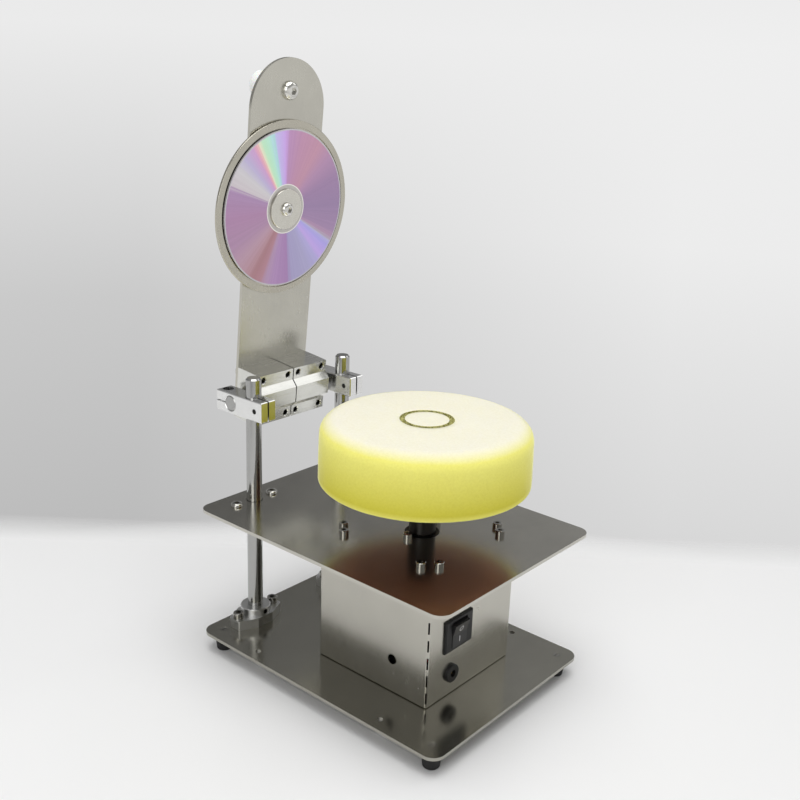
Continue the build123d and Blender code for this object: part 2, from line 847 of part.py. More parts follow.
# ---------------------------------------------------------------- cross clamps and hinge shaft
def cross_clamp(side):
    """Joins a post to the cross shaft: split at the front for the post, at the back for the shaft."""
    x = side * post_x
    left = x - clamp_width / 2
    right = x + clamp_width / 2
    front = post_y - clamp_front
    rear = post_y + clamp_rear
    top = clamp_bottom + clamp_height
    body = cuboid(left, right, front, rear, clamp_bottom, top)
    body = chamfer(body.edges(), clamp_edge_chamfer)
    bore = post_diameter + 2 * fit_gap
    body -= rod_z(bore, clamp_bottom, top, x, post_y)
    body -= rod_x(bore, left, right, hinge_y, hinge_z)
    body = chamfer(body.edges().filter_by(GeomType.CIRCLE), clamp_bore_chamfer)
    body -= cuboid(x - clamp_slit / 2, x + clamp_slit / 2, front, post_y, clamp_bottom, top)
    body -= cuboid(left, right, hinge_y, rear, hinge_z - clamp_slit / 2, hinge_z + clamp_slit / 2)
    screw_y = post_y - clamp_screw_front
    body -= rod_x(tapped(m4_thread), left, x, screw_y, hinge_z)
    body -= rod_x(clearance(m4_thread), x, right, screw_y, hinge_z)
    body -= rod_x(clamp_counterbore, right - clamp_counterbore_depth, right, screw_y, hinge_z)
    screw_y = hinge_y + clamp_screw_rear
    body -= rod_z(tapped(m4_thread), clamp_bottom, hinge_z, x, screw_y)
    body -= rod_z(clearance(m4_thread), hinge_z, top, x, screw_y)
    return body - rod_z(clamp_counterbore, top - clamp_counterbore_depth, top, x, screw_y)


def clamp_screws():
    """One screw across each front slit and one down through each rear slit."""
    screw = cap_screw(m4_thread, m4_head, m4_head_height, m4_key, clamp_screw_length)
    pieces = []
    for side in (-1, 1):
        x = side * post_x
        seat_x = x + clamp_width / 2 - clamp_counterbore_depth
        pieces.append(Pos(seat_x, post_y - clamp_screw_front, hinge_z) * Rot(0, 90, 0) * screw)
        seat_z = clamp_bottom + clamp_height - clamp_counterbore_depth
        pieces.append(Pos(x, hinge_y + clamp_screw_rear, seat_z) * screw)
    return group(pieces)


def hinge_shaft():
    end = post_x + clamp_width / 2
    shaft = rod_x(post_diameter, -end, end, hinge_y, hinge_z)
    return chamfer(shaft.edges().filter_by(GeomType.CIRCLE), hinge_shaft_chamfer)


# ---------------------------------------------------------------- bearing blocks and bushings
def block_span(side):
    """Left and right ends of a bearing block."""
    inner = side * block_gap / 2
    outer = side * (block_gap / 2 + block_length)
    return min(inner, outer), max(inner, outer)


def block_hole_places(side):
    """Fixing holes of one block as (x, z) in the arm frame."""
    left, right = block_span(side)
    levels = (-block_hole_span_z / 2, block_hole_span_z / 2)
    return [(x, z) for x in (left + block_hole_inset_x, right - block_hole_inset_x) for z in levels]


def bearing_block(side):
    left, right = block_span(side)
    chamfered = block_barrel_half_height + (block_barrel_front - block_flange_front)
    half = [
        (arm_setback, block_half_height),
        (block_slope_rear, block_half_height),
        (-block_flange_front, block_front_half_height),
        (-block_flange_front, chamfered),
        (-block_barrel_front, block_barrel_half_height),
    ]
    outline = half + [(y, -z) for y, z in reversed(half)]
    profile = Plane.YZ * Polygon(*outline, align=None)
    body = Pos(left, 0, 0) * extrude(profile, right - left, dir=(1, 0, 0))
    body -= rod_x(bushing_diameter + 2 * fit_gap, left, right)
    tap_front = arm_setback - block_thread_depth
    sink_depth = (block_sink_diameter - block_through_diameter) / 2
    sink = Cone(block_sink_diameter / 2, block_through_diameter / 2, sink_depth, align=BASE)
    for x, z in block_hole_places(side):
        body -= rod_y(tapped(m5_thread), tap_front, arm_setback, x, z)
        body -= rod_y(block_through_diameter, -block_flange_front, tap_front, x, z)
        body -= Pos(x, -block_flange_front, z) * Rot(-90, 0, 0) * sink
    return arm_frame * body


def bushing_span(side):
    left, right = block_span(side)
    return left + bushing_end_inset, right - bushing_end_inset


def linear_bushing(side):
    left, right = bushing_span(side)
    sleeve = rod_x(bushing_diameter, left, right)
    sleeve = chamfer(sleeve.edges().filter_by(GeomType.CIRCLE), bushing_chamfer)
    return arm_frame * (sleeve - rod_x(post_diameter + 2 * fit_gap, left, right))


def bushing_rings():
    """Retaining rings that keep each bushing in the middle of its block."""
    pieces = []
    for side in (-1, 1):
        left, right = bushing_span(side)
        for start in (left - bushing_ring_width - fit_gap, right + fit_gap):
            end = start + bushing_ring_width
            ring = rod_x(bushing_diameter, start, end)
            ring -= rod_x(bushing_diameter - 2 * bushing_ring_height, start, end)
            half = bushing_ring_opening / 2
            ring -= cuboid(start, end, -half, half, -bushing_diameter, 0)
            pieces.append(arm_frame * ring)
    return group(pieces)


# ---------------------------------------------------------------- arm plate and handle
def housing_screw_places():
    """Screws of the pivot housing as (x, z) in the arm frame."""
    places = []
    for number in range(housing_screw_count):
        angle = 2 * math.pi * (number + 0.5) / housing_screw_count
        x = housing_screw_circle / 2 * math.cos(angle)
        places.append((x, tray_reach + housing_screw_circle / 2 * math.sin(angle)))
    return places


def arm_plate():
    half = arm_width / 2
    bottom = -block_half_height
    shoulder = arm_reach - half
    sheet = cuboid(-half, half, arm_front_face, arm_rear_face, bottom, shoulder)
    sheet = fillet(sheet.edges().filter_by(Axis.Y).group_by(Axis.Z)[0], arm_corner_radius)
    sheet += rod_y(arm_width, arm_front_face, arm_rear_face, 0, shoulder)
    for side in (-1, 1):
        for x, z in block_hole_places(side):
            sheet -= rod_y(clearance(m5_thread), arm_front_face, arm_rear_face, x, z)
    pivot_hole = pivot_flange_diameter + 2 * pivot_hole_play
    sheet -= rod_y(pivot_hole, arm_front_face, arm_rear_face, 0, tray_reach)
    sheet -= rod_y(clearance(m8_thread), arm_front_face, arm_rear_face, 0, handle_reach)
    for x, z in housing_screw_places():
        sheet -= rod_y(tapped(m4_thread), arm_front_face, arm_rear_face, x, z)
    return arm_frame * sheet


def arm_screws():
    """Screws from behind the arm plate: into the bearing blocks and for the pivot housing."""
    pieces = []
    to_rear = Rot(-90, 0, 0)
    block_screw = m5_button_screw(block_screw_length)
    for side in (-1, 1):
        for x, z in block_hole_places(side):
            pieces.append(arm_frame * Pos(x, arm_rear_face, z) * to_rear * block_screw)
    housing_screw = m4_button_screw(housing_flange_thickness + arm_thickness - housing_screw_reserve)
    for x, z in housing_screw_places():
        seat = arm_rear_face + housing_flange_thickness
        pieces.append(arm_frame * Pos(x, seat, z) * to_rear * housing_screw)
    return group(pieces)


def handle():
    rear = arm_rear_face + handle_length
    neck_rear = arm_rear_face + handle_neck_length
    grip = rod_y(handle_diameter, neck_rear, rear, 0, handle_reach)
    grip = fillet(grip.edges().filter_by(GeomType.CIRCLE), handle_end_radius)
    grip += rod_y(handle_neck_diameter, arm_rear_face, neck_rear + handle_end_radius, 0, handle_reach)
    bore_rear = arm_front_face + handle_screw_length + handle_bore_reserve
    return arm_frame * (grip - rod_y(tapped(m8_thread), arm_rear_face, bore_rear, 0, handle_reach))


def handle_screw():
    screw = button_screw(m8_thread, m8_head, m8_head_height, m8_key, handle_screw_length)
    return arm_frame * Pos(0, arm_front_face, handle_reach) * Rot(90, 0, 0) * screw


# ---------------------------------------------------------------- pivot, tray and disc
def pivot_housing():
    """Flanged cup behind the arm plate for the two ball bearings."""
    barrel_rear = bearings_rear + housing_lip / 2
    flange_rear = arm_rear_face + housing_flange_thickness
    body = rod_y(housing_flange_diameter, arm_rear_face, flange_rear, 0, tray_reach)
    body += rod_y(housing_barrel_diameter, arm_rear_face, barrel_rear, 0, tray_reach)
    neck_hole = pivot_neck_diameter + 2 * pivot_hole_play
    body -= rod_y(neck_hole, arm_rear_face, bearing_front, 0, tray_reach)
    body -= rod_y(bearing_diameter + 2 * thread_gap, bearing_front, barrel_rear, 0, tray_reach)
    for x, z in housing_screw_places():
        body -= rod_y(clearance(m4_thread), arm_rear_face, flange_rear, x, z)
    return arm_frame * body


def pivot_bearings():
    pieces = []
    for number in range(bearing_count):
        front = bearing_front + number * bearing_length
        rear = front + bearing_length
        ring = rod_y(bearing_diameter, front, rear, 0, tray_reach)
        ring -= rod_y(pivot_journal_diameter + 2 * fit_gap, front, rear, 0, tray_reach)
        pieces.append(arm_frame * ring)
    return group(pieces)


pivot_neck_rear = bearing_front - bearing_end_play
pivot_journal_rear = bearings_rear + bearing_end_play
pivot_thread_rear = pivot_journal_rear + m6_nut_height + pivot_thread_reserve


def pivot_spindle():
    """Centres and carries the tray and the disc, and turns in the two bearings."""
    spindle = rod_y(disc_bore - 2 * disc_play, pivot_boss_front, tray_rear, 0, tray_reach)
    spindle += rod_y(pivot_flange_diameter, tray_rear, pivot_flange_rear, 0, tray_reach)
    spindle += rod_y(pivot_neck_diameter, pivot_flange_rear, pivot_neck_rear, 0, tray_reach)
    spindle += rod_y(pivot_journal_diameter, pivot_neck_rear, pivot_journal_rear, 0, tray_reach)
    spindle += rod_y(m6_thread, pivot_journal_rear, pivot_thread_rear, 0, tray_reach)
    tap_rear = washer_face + disc_screw_length + disc_screw_reserve
    spindle -= rod_y(tapped(m6_thread), pivot_boss_front, tap_rear, 0, tray_reach)
    return arm_frame * spindle


def pivot_nut():
    lock_nut = nut(m6_nut_width, m6_nut_height, m6_thread)
    return arm_frame * Pos(0, pivot_journal_rear, tray_reach) * Rot(-90, 0, 0) * lock_nut


def disc_tray():
    tray = rod_y(tray_diameter, tray_rim_face, tray_rear, 0, tray_reach)
    tray -= rod_y(tray_recess_diameter, tray_rim_face, tray_floor_face, 0, tray_reach)
    rims = tray.edges().filter_by(GeomType.CIRCLE).sort_by(SortBy.RADIUS)[-2:]
    tray = fillet(rims, tray_edge_radius)
    tray -= rod_y(disc_bore, tray_floor_face, tray_rear, 0, tray_reach)
    return arm_frame * tray


def disc_mat():
    mat = rod_y(mat_diameter, mat_face, tray_floor_face, 0, tray_reach)
    return arm_frame * (mat - rod_y(disc_bore, mat_face, tray_floor_face, 0, tray_reach))


def disc():
    body = rod_y(disc_diameter, disc_face, mat_face, 0, tray_reach)
    return arm_frame * (body - rod_y(disc_bore, disc_face, mat_face, 0, tray_reach))


def clamp_washer():
    washer = rod_y(washer_diameter, washer_face, disc_face, 0, tray_reach)
    washer = chamfer(washer.edges().filter_by(GeomType.CIRCLE), washer_chamfer)
    return arm_frame * (washer - rod_y(clearance(m6_thread), washer_face, disc_face, 0, tray_reach))


def disc_screw():
    screw = button_screw(m6_thread, m6_head, m6_head_height, m6_key, disc_screw_length)
    return arm_frame * Pos(0, washer_face, tray_reach) * Rot(90, 0, 0) * screw


# ---------------------------------------------------------------- switch
def switch_housing():
    """Bezel on the front wall, body behind it, and an open window for the rocker."""
    bezel = cuboid(
        switch_x - bezel_width / 2,
        switch_x + bezel_width / 2,
        box_front - bezel_proud,
        box_front,
        switch_z - bezel_tall / 2,
        switch_z + bezel_tall / 2,
    )
    bezel = chamfer(bezel.faces().sort_by(Axis.Y)[0].edges(), bezel_chamfer)
    half_x = switch_body_width / 2
    half_z = switch_body_tall / 2
    body = cuboid(
        switch_x - half_x, switch_x + half_x, box_front, box_front + switch_body_depth,
        switch_z - half_z, switch_z + half_z,
    )
    housing = bezel + body
    window_x = switch_window_width / 2
    window_z = switch_window_tall / 2
    housing -= cuboid(
        switch_x - window_x, switch_x + window_x, box_front - bezel_proud,
        box_front + switch_window_depth, switch_z - window_z, switch_z + window_z,
    )
    reach = switch_window_width / 2 + rocker_pin_length + fit_gap
    axis_y = box_front + rocker_axis_depth
    bore = rocker_pin_diameter + 2 * fit_gap
    return housing - rod_x(bore, switch_x - reach, switch_x + reach, axis_y, switch_z)


def switch_rocker():
    """Two flats that meet in a shallow valley. It rests with the lower flat pressed in."""
    tilt = math.radians(rocker_tilt)
    centre = (rocker_axis_depth + rocker_proud) / math.cos(tilt)
    end = centre + rocker_half_tall * math.tan(tilt)
    outline = [
        (-centre, 0),
        (-end, rocker_half_tall),
        (0, rocker_half_tall),
        (rocker_rear_depth, rocker_rear_half_tall),
        (rocker_rear_depth, -rocker_rear_half_tall),
        (0, -rocker_half_tall),
        (-end, -rocker_half_tall),
    ]
    profile = Plane.YZ * Polygon(*outline, align=None)
    body = Pos(-rocker_width / 2, 0, 0) * extrude(profile, rocker_width, dir=(1, 0, 0))
    reach = switch_window_width / 2 + rocker_pin_length - fit_gap
    body += rod_x(rocker_pin_diameter, -reach, reach)
    return Pos(switch_x, box_front + rocker_axis_depth, switch_z) * Rot(rocker_tilt, 0, 0) * body


switch_tab_x = switch_x + switch_tab_shift
switch_tab_front = box_front + switch_body_depth
switch_tab_rear = switch_tab_front + switch_tab_length
motor_tab_bottom = can_bottom - terminal_length


def terminals():
    """Flat tabs: two behind the switch and two under the motor."""
    pieces = []
    for side in (-1, 1):
        z = switch_z + side * switch_tab_spacing / 2
        half_x = switch_tab_width / 2
        half_z = switch_tab_thickness / 2
        pieces.append(
            cuboid(
                switch_tab_x - half_x, switch_tab_x + half_x, switch_tab_front, switch_tab_rear,
                z - half_z, z + half_z,
            )
        )
        pieces.append(terminal_blade(side, terminal_width, terminal_thickness))
    return group(pieces)


# ---------------------------------------------------------------- power inlet
jack_rear = box_front + jack_barrel_length
jack_tab_rear = jack_rear + jack_tab_length


def dc_jack_body():
    flange = rod_y(jack_flange_diameter, box_front - jack_flange_proud, box_front, jack_x, jack_z)
    flange = fillet(flange.faces().sort_by(Axis.Y)[0].edges(), jack_flange_edge)
    body = flange + rod_y(jack_barrel_diameter, box_front, jack_rear, jack_x, jack_z)
    front = box_front - jack_flange_proud
    body -= rod_y(jack_bore, front, front + jack_bore_depth, jack_x, jack_z)
    return body - rod_y(jack_pin_diameter + 2 * thread_gap, front, jack_rear, jack_x, jack_z)


def dc_jack_nut():
    ring = nut(jack_nut_width, jack_nut_height, jack_barrel_diameter)
    return Pos(jack_x, box_inner_front, jack_z) * Rot(-90, 0, 0) * ring


def dc_jack_contacts():
    """The centre pin, and the solder tabs of the pin and of the sleeve behind the body."""
    front = box_front - jack_flange_proud + jack_pin_recess
    pin = rod_y(jack_pin_diameter, front, jack_rear, jack_x, jack_z)
    pin = fillet(pin.faces().sort_by(Axis.Y)[0].edges(), jack_pin_nose)
    half_x = jack_tab_width / 2
    half_z = jack_tab_thickness / 2
    tabs = [
        cuboid(jack_x - half_x, jack_x + half_x, jack_rear, jack_tab_rear, z - half_z, z + half_z)
        for z in (jack_z, jack_z - jack_tab_drop)
    ]
    return group([pin + tabs[0], tabs[1]])


# ---------------------------------------------------------------- wires inside the box
def bend_radii(points):
    """The largest tangent arcs that the runs of a route leave room for."""
    radii = []
    for before, corner, after in zip(points, points[1:], points[2:]):
        run_in = Vector(*corner) - Vector(*before)
        run_out = Vector(*after) - Vector(*corner)
        half_turn = math.radians(run_in.get_angle(run_out) / 2)
        radii.append(wire_bend_share * min(run_in.length, run_out.length) / math.tan(half_turn))
    return radii


def wire(name, points):
    """A round wire along straight runs joined by tangent arcs."""
    radii = bend_radii(points)
    print(name, "bend radii", [round(radius, 1) for radius in radii])
    path = FilletPolyline(*points, radius=radii)
    start = Vector(*points[1]) - Vector(*points[0])
    section = Plane(origin=points[0], z_dir=start) * Circle(wire_diameter / 2)
    return sweep(section, path=path)


motor_wire_level = motor_tab_bottom - wire_hang


def wire_jack_to_switch():
    z1 = switch_z - switch_tab_spacing / 2
    return wire("wire_jack_to_switch", [
        (jack_x, jack_tab_rear, jack_z),
        (jack_x, jack_tab_rear + 11, jack_z),
        (switch_tab_x - 2.5, switch_tab_rear + 10, (jack_z + z1) / 2 - 1),
        (switch_tab_x, switch_tab_rear + 10, z1),
        (switch_tab_x, switch_tab_rear, z1),
    ])


def wire_switch_to_motor():
    z1 = switch_z + switch_tab_spacing / 2
    return wire("wire_switch_to_motor", [
        (switch_tab_x, switch_tab_rear, z1),
        (switch_tab_x, switch_tab_rear + 9, z1),
        (switch_tab_x - 4.6, pad_axis_y - 7, z1 - 11),
        (switch_tab_x - 5.1, pad_axis_y - 2, z1 - 25),
        (-terminal_offset - 12, pad_axis_y + 0.5, motor_wire_level + 0.7),
        (-terminal_offset, pad_axis_y, motor_wire_level),
        (-terminal_offset, pad_axis_y, motor_tab_bottom),
    ])


def wire_jack_to_motor():
    z0 = jack_z - jack_tab_drop
    return wire("wire_jack_to_motor", [
        (jack_x, jack_tab_rear, z0),
        (jack_x, jack_tab_rear + 11, z0),
        (-terminal_offset + 3, pad_axis_y - 9, z0 + 1),
        (terminal_offset - 12, pad_axis_y - 2.5, motor_wire_level - 1.3),
        (terminal_offset, pad_axis_y, motor_wire_level),
        (terminal_offset, pad_axis_y, motor_tab_bottom),
    ])


# ---------------------------------------------------------------- all nodes
nodes = {
    "base_plate": base_plate(),
    "rubber_feet": rubber_feet(),
    "foot_fasteners": foot_fasteners(),
    "motor_box": motor_box(),
    "box_base_fasteners": box_base_fasteners(),
    "table_plate": table_plate(),
    "box_top_fasteners": box_top_fasteners(),
    "motor_screws": motor_screws(),
    "motor_can": motor_can(),
    "motor_magnets": motor_magnets(),
    "motor_end_cap": motor_end_cap(),
    "motor_bearings": motor_bearings(),
    "terminals": terminals(),
    "base_shaft_support_left": base_support_place(-1) * shaft_support(),
    "base_shaft_support_right": base_support_place(1) * shaft_support(),
    "base_support_fasteners": base_support_fasteners(),
    "table_shaft_support_left": table_support_place(-1) * shaft_support(),
    "table_shaft_support_right": table_support_place(1) * shaft_support(),
    "table_support_fasteners": table_support_fasteners(),
    "support_set_screws": support_set_screws(),
    "guide_post_left": guide_post(-1),
    "guide_post_right": guide_post(1),
    "switch_housing": switch_housing(),
    "switch_rocker": switch_rocker(),
    "dc_jack_body": dc_jack_body(),
    "dc_jack_nut": dc_jack_nut(),
    "dc_jack_contacts": dc_jack_contacts(),
    "wire_jack_to_switch": wire_jack_to_switch(),
    "wire_switch_to_motor": wire_switch_to_motor(),
    "wire_jack_to_motor": wire_jack_to_motor(),
    "cross_clamp_left": cross_clamp(-1),
    "cross_clamp_right": cross_clamp(1),
    "clamp_screws": clamp_screws(),
    "hinge_shaft": hinge_shaft(),
    "bearing_block_left": bearing_block(-1),
    "bearing_block_right": bearing_block(1),
    "linear_bushing_left": linear_bushing(-1),
    "linear_bushing_right": linear_bushing(1),
    "bushing_rings": bushing_rings(),
    "arm_plate": arm_plate(),
    "arm_screws": arm_screws(),
    "handle": handle(),
    "handle_screw": handle_screw(),
    "pivot_housing": pivot_housing(),
    "pivot_bearings": pivot_bearings(),
    "pivot_spindle": pivot_spindle(),
    "pivot_nut": pivot_nut(),
    "disc_tray": disc_tray(),
    "disc_mat": disc_mat(),
    "disc": disc(),
    "clamp_washer": clamp_washer(),
    "disc_screw": disc_screw(),
    "rotor_shaft": rotor_shaft(),
    "rotor_core": rotor_core(),
    "pad_hub": pad_hub(),
    "hub_screws": hub_screws(),
    "backing_plate": backing_plate(),
    "polishing_pad": polishing_pad(),
}

os.makedirs("parts", exist_ok=True)
for name, shape in nodes.items():
    export_step(shape, f"parts/{name}.step")
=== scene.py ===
"""Looks of the disc repair machine: metals, foam pad, disc, plastics, floor and studio light."""

import json
import math

import bpy
from mathutils import Matrix, Vector, noise


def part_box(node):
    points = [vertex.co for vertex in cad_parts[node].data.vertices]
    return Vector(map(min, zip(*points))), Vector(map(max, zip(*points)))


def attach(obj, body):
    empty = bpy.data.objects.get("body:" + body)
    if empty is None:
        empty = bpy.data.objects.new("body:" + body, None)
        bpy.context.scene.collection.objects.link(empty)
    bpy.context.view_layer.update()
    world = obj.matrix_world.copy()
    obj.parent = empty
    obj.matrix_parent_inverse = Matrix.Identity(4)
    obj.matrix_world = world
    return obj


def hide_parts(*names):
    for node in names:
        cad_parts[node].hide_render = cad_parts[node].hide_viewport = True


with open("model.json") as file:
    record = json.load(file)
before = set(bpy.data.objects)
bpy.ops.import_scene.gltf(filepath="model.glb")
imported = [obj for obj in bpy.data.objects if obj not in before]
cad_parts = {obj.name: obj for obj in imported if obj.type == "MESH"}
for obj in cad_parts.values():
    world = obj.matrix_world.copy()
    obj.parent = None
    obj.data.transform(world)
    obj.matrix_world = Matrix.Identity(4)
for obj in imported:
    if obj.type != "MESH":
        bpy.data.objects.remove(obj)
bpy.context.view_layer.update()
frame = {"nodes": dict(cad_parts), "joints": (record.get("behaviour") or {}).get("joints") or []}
nodes = frame["nodes"]
joints = {joint["name"]: joint for joint in frame["joints"]}

MM = 0.001
ARM_LEAN = math.radians(5.26)
ARM_PIVOT = Vector(joints["arm_hinge"]["pos_m"])
DISC_CENTRE = Vector(joints["disc_spin"]["pos_m"])
PAD_AXIS = Vector(joints["pad_spin"]["pos_m"])
ROCKER_PIVOT = Vector(joints["switch_rock"]["pos_m"])

# ------------------------------------------------------------------ camera
# Lengths of the photograph are in pixels; AXIS_PIXEL is where the optical axis meets it.
IMAGE_SIDE = 800.0
FOCAL_PIXELS = 1020.4
AXIS_PIXEL = (403.6, 396.3)
CAMERA_PLACE = Vector((-0.54083, -0.45948, 0.44636))
CAMERA_AZIMUTH = math.radians(-50.035)
CAMERA_PITCH = math.radians(17.67)
CAMERA_ROLL = math.radians(2.144)
SENSOR_WIDTH = 36.0
CLIP_START = 0.01


def make_camera():
    """Camera where the photographer stood."""
    data = bpy.data.cameras.new("camera")
    data.sensor_width = SENSOR_WIDTH
    data.lens = FOCAL_PIXELS / IMAGE_SIDE * SENSOR_WIDTH
    data.shift_x = (IMAGE_SIDE / 2 - AXIS_PIXEL[0]) / IMAGE_SIDE
    data.shift_y = (AXIS_PIXEL[1] - IMAGE_SIDE / 2) / IMAGE_SIDE
    data.clip_start = CLIP_START
    data.dof.use_dof = False
    back = Vector((
        math.sin(CAMERA_AZIMUTH) * math.cos(CAMERA_PITCH),
        -math.cos(CAMERA_AZIMUTH) * math.cos(CAMERA_PITCH),
        math.sin(CAMERA_PITCH),
    ))
    level_right = (-back).cross(Vector((0, 0, 1))).normalized()
    level_up = level_right.cross(-back)
    right = level_right * math.cos(CAMERA_ROLL) + level_up * math.sin(CAMERA_ROLL)
    up = level_up * math.cos(CAMERA_ROLL) - level_right * math.sin(CAMERA_ROLL)
    camera = bpy.data.objects.new("camera", data)
    turn = Matrix((right, up, back)).transposed().to_4x4()
    camera.matrix_world = Matrix.Translation(CAMERA_PLACE) @ turn
    bpy.context.scene.collection.objects.link(camera)
    bpy.context.scene.camera = camera


# ------------------------------------------------------------------ material helpers
class Paint:
    """A Principled material with short calls for its procedural nodes."""

    def __init__(self, name, color, metallic=0.0, roughness=0.5, **sockets):
        self.material = bpy.data.materials.new(name)
        self.material.use_nodes = True
        self.tree = self.material.node_tree
        self.shader = self.tree.nodes["Principled BSDF"]
        self.set(base_color=(*color, 1.0), metallic=metallic, roughness=roughness, **sockets)

    def set(self, **sockets):
        """Set sockets of the shader, named in small letters with underscores."""
        for socket, value in sockets.items():
            name = socket.replace("_", " ").title().replace("Ior", "IOR")
            self.shader.inputs[name].default_value = value

    def node(self, kind, **settings):
        made = self.tree.nodes.new("ShaderNode" + kind)
        for name, value in settings.items():
            setattr(made, name, value)
        return made

    def link(self, source, target):
        self.tree.links.new(source, target)

    def place(self, scale=(1, 1, 1), rotation=(0, 0, 0), location=(0, 0, 0)):
        """Object coordinates seen from a moved and turned origin, then stretched."""
        coordinate = self.node("TexCoord")
        mapping = self.node("Mapping", vector_type="TEXTURE")
        mapping.inputs["Location"].default_value = location
        mapping.inputs["Rotation"].default_value = rotation
        stretch = self.node("Mapping")
        stretch.inputs["Scale"].default_value = scale
        self.link(coordinate.outputs["Object"], mapping.inputs["Vector"])
        self.link(mapping.outputs["Vector"], stretch.inputs["Vector"])
        return stretch.outputs["Vector"]

    def noise(self, vector, scale, detail=4.0, rough=0.55):
        """Noise whose cells are about one metre over scale across."""
        made = self.node("TexNoise")
        made.inputs["Scale"].default_value = scale
        made.inputs["Detail"].default_value = detail
        made.inputs["Roughness"].default_value = rough
        self.link(vector, made.inputs["Vector"])
        return made.outputs["Fac"]

    def ramp(self, value, stops):
        """Colour by value, from stops of (position, color)."""
        made = self.node("ValToRGB")
        elements = made.color_ramp.elements
        while len(elements) < len(stops):
            elements.new(0.5)
        for element, (position, color) in zip(elements, stops):
            element.position = position
            element.color = (*color, 1.0)
        self.link(value, made.inputs["Fac"])
        return made.outputs["Color"]

    def remap(self, value, low, high, to_low, to_high):
        """Value from low to high becomes to_low to to_high, clamped at both ends."""
        made = self.node("MapRange")
        names = ("From Min", "From Max", "To Min", "To Max")
        for name, number in zip(names, (low, high, to_low, to_high)):
            made.inputs[name].default_value = number
        self.link(value, made.inputs["Value"])
        return made.outputs["Result"]

    def math(self, operation, *values):
        made = self.node("Math", operation=operation)
        for socket, value in zip(made.inputs, values):
            if isinstance(value, (int, float)):
                socket.default_value = value
            else:
                self.link(value, socket)
        return made.outputs["Value"]

    def mix(self, factor, first, second, blend="MIX"):
        """First color at factor 0, blended with the second at factor 1."""
        made = self.node("MixRGB", blend_type=blend)
        for socket, value in zip(made.inputs, (factor, first, second)):
            if isinstance(value, (int, float)):
                socket.default_value = value
            elif isinstance(value, tuple):
                socket.default_value = (*value, 1.0)
            else:
                self.link(value, socket)
        return made.outputs["Color"]

    def bump(self, height, strength, distance, below=None):
        """Normal of a relief, laid over the relief below where there is one."""
        made = self.node("Bump")
        made.inputs["Strength"].default_value = strength
        made.inputs["Distance"].default_value = distance
        self.link(height, made.inputs["Height"])
        if below is not None:
            self.link(below, made.inputs["Normal"])
        return made.outputs["Normal"]

    def wire(self, **sockets):
        """Link sources to sockets of the shader."""
        for socket, source in sockets.items():
            self.link(source, self.shader.inputs[socket.replace("_", " ").title()])
        return self


def grey(level):
    return (level, level, level)


def scaled(color, factor):
    return tuple(min(1.0, channel * factor) for channel in color)


# ------------------------------------------------------------------ metals
# Noise scales are cells per metre and bump depths are metres.
SHEET_GRAIN = 900.0
SHEET_CLOUDS = 24.0
SHEET_SPOTS = 180.0
SHEET_RELIEF = 0.01 * MM
TOOL_LINES = 700.0
CUT_CLOUDS = 55.0
CUT_RELIEF = 0.01 * MM
HAIRLINES = 900.0
HAIRLINE_STRETCH = (0.2, 0.2, 6)
GROUND_WEAR = 90.0
GROUND_RELIEF = 0.02 * MM
TURNED_GRAIN = 1400.0
TURNED_WEAR = 220.0
TURNED_RELIEF = 0.01 * MM


def along_arm(paint, lean, stretch=(1, 1, 1)):
    """Coordinates that lean with the arm about its pivot, or stand upright."""
    start = tuple(ARM_PIVOT) if lean else (0, 0, 0)
    return paint.place(stretch, rotation=(lean, 0, 0), location=start)


def rolled_steel(name, color, roughness, grain=(1, 1, 1), lean=0.0, uneven=0.012):
    """Stainless sheet: a fine rolled grain, faint clouds and a few rubbed spots."""
    paint = Paint(name, color, metallic=1.0, roughness=roughness)
    here = along_arm(paint, lean)
    fine = paint.noise(along_arm(paint, lean, grain), SHEET_GRAIN, detail=2.0)
    cloud = paint.noise(here, SHEET_CLOUDS, detail=5.0, rough=0.6)
    spots = paint.noise(here, SHEET_SPOTS, detail=2.0)
    lines = paint.ramp(fine, [(0.3, grey(0.86)), (0.7, grey(1.0))])
    tone = paint.ramp(cloud, [(0.3, scaled(color, 0.94)), (0.7, scaled(color, 1.04))])
    tone = paint.mix(0.2, tone, lines, "MULTIPLY")
    rough = paint.math("ADD", paint.remap(fine, 0.3, 0.7, -uneven, uneven), roughness)
    rough = paint.math("ADD", rough, paint.remap(cloud, 0.3, 0.7, 0.0, 2 * uneven))
    rough = paint.math("ADD", rough, paint.remap(spots, 0.62, 0.75, 0.0, uneven))
    normal = paint.bump(fine, 0.03, SHEET_RELIEF)
    return paint.wire(base_color=tone, roughness=rough, normal=normal).material


def machined(name, color, roughness, tool=(1, 1, 1), lean=0.0):
    """Cut aluminium: faint tool lines under a soft, slightly cloudy skin."""
    paint = Paint(name, color, metallic=1.0, roughness=roughness)
    lines = paint.noise(along_arm(paint, lean, tool), TOOL_LINES, detail=2.0)
    cloud = paint.noise(paint.place(), CUT_CLOUDS, detail=4.0)
    tone = paint.ramp(cloud, [(0.3, scaled(color, 0.92)), (0.7, color)])
    rough = paint.math("ADD", paint.remap(lines, 0.3, 0.7, -0.03, 0.04), roughness)
    normal = paint.bump(lines, 0.02, CUT_RELIEF)
    return paint.wire(base_color=tone, roughness=rough, normal=normal).material


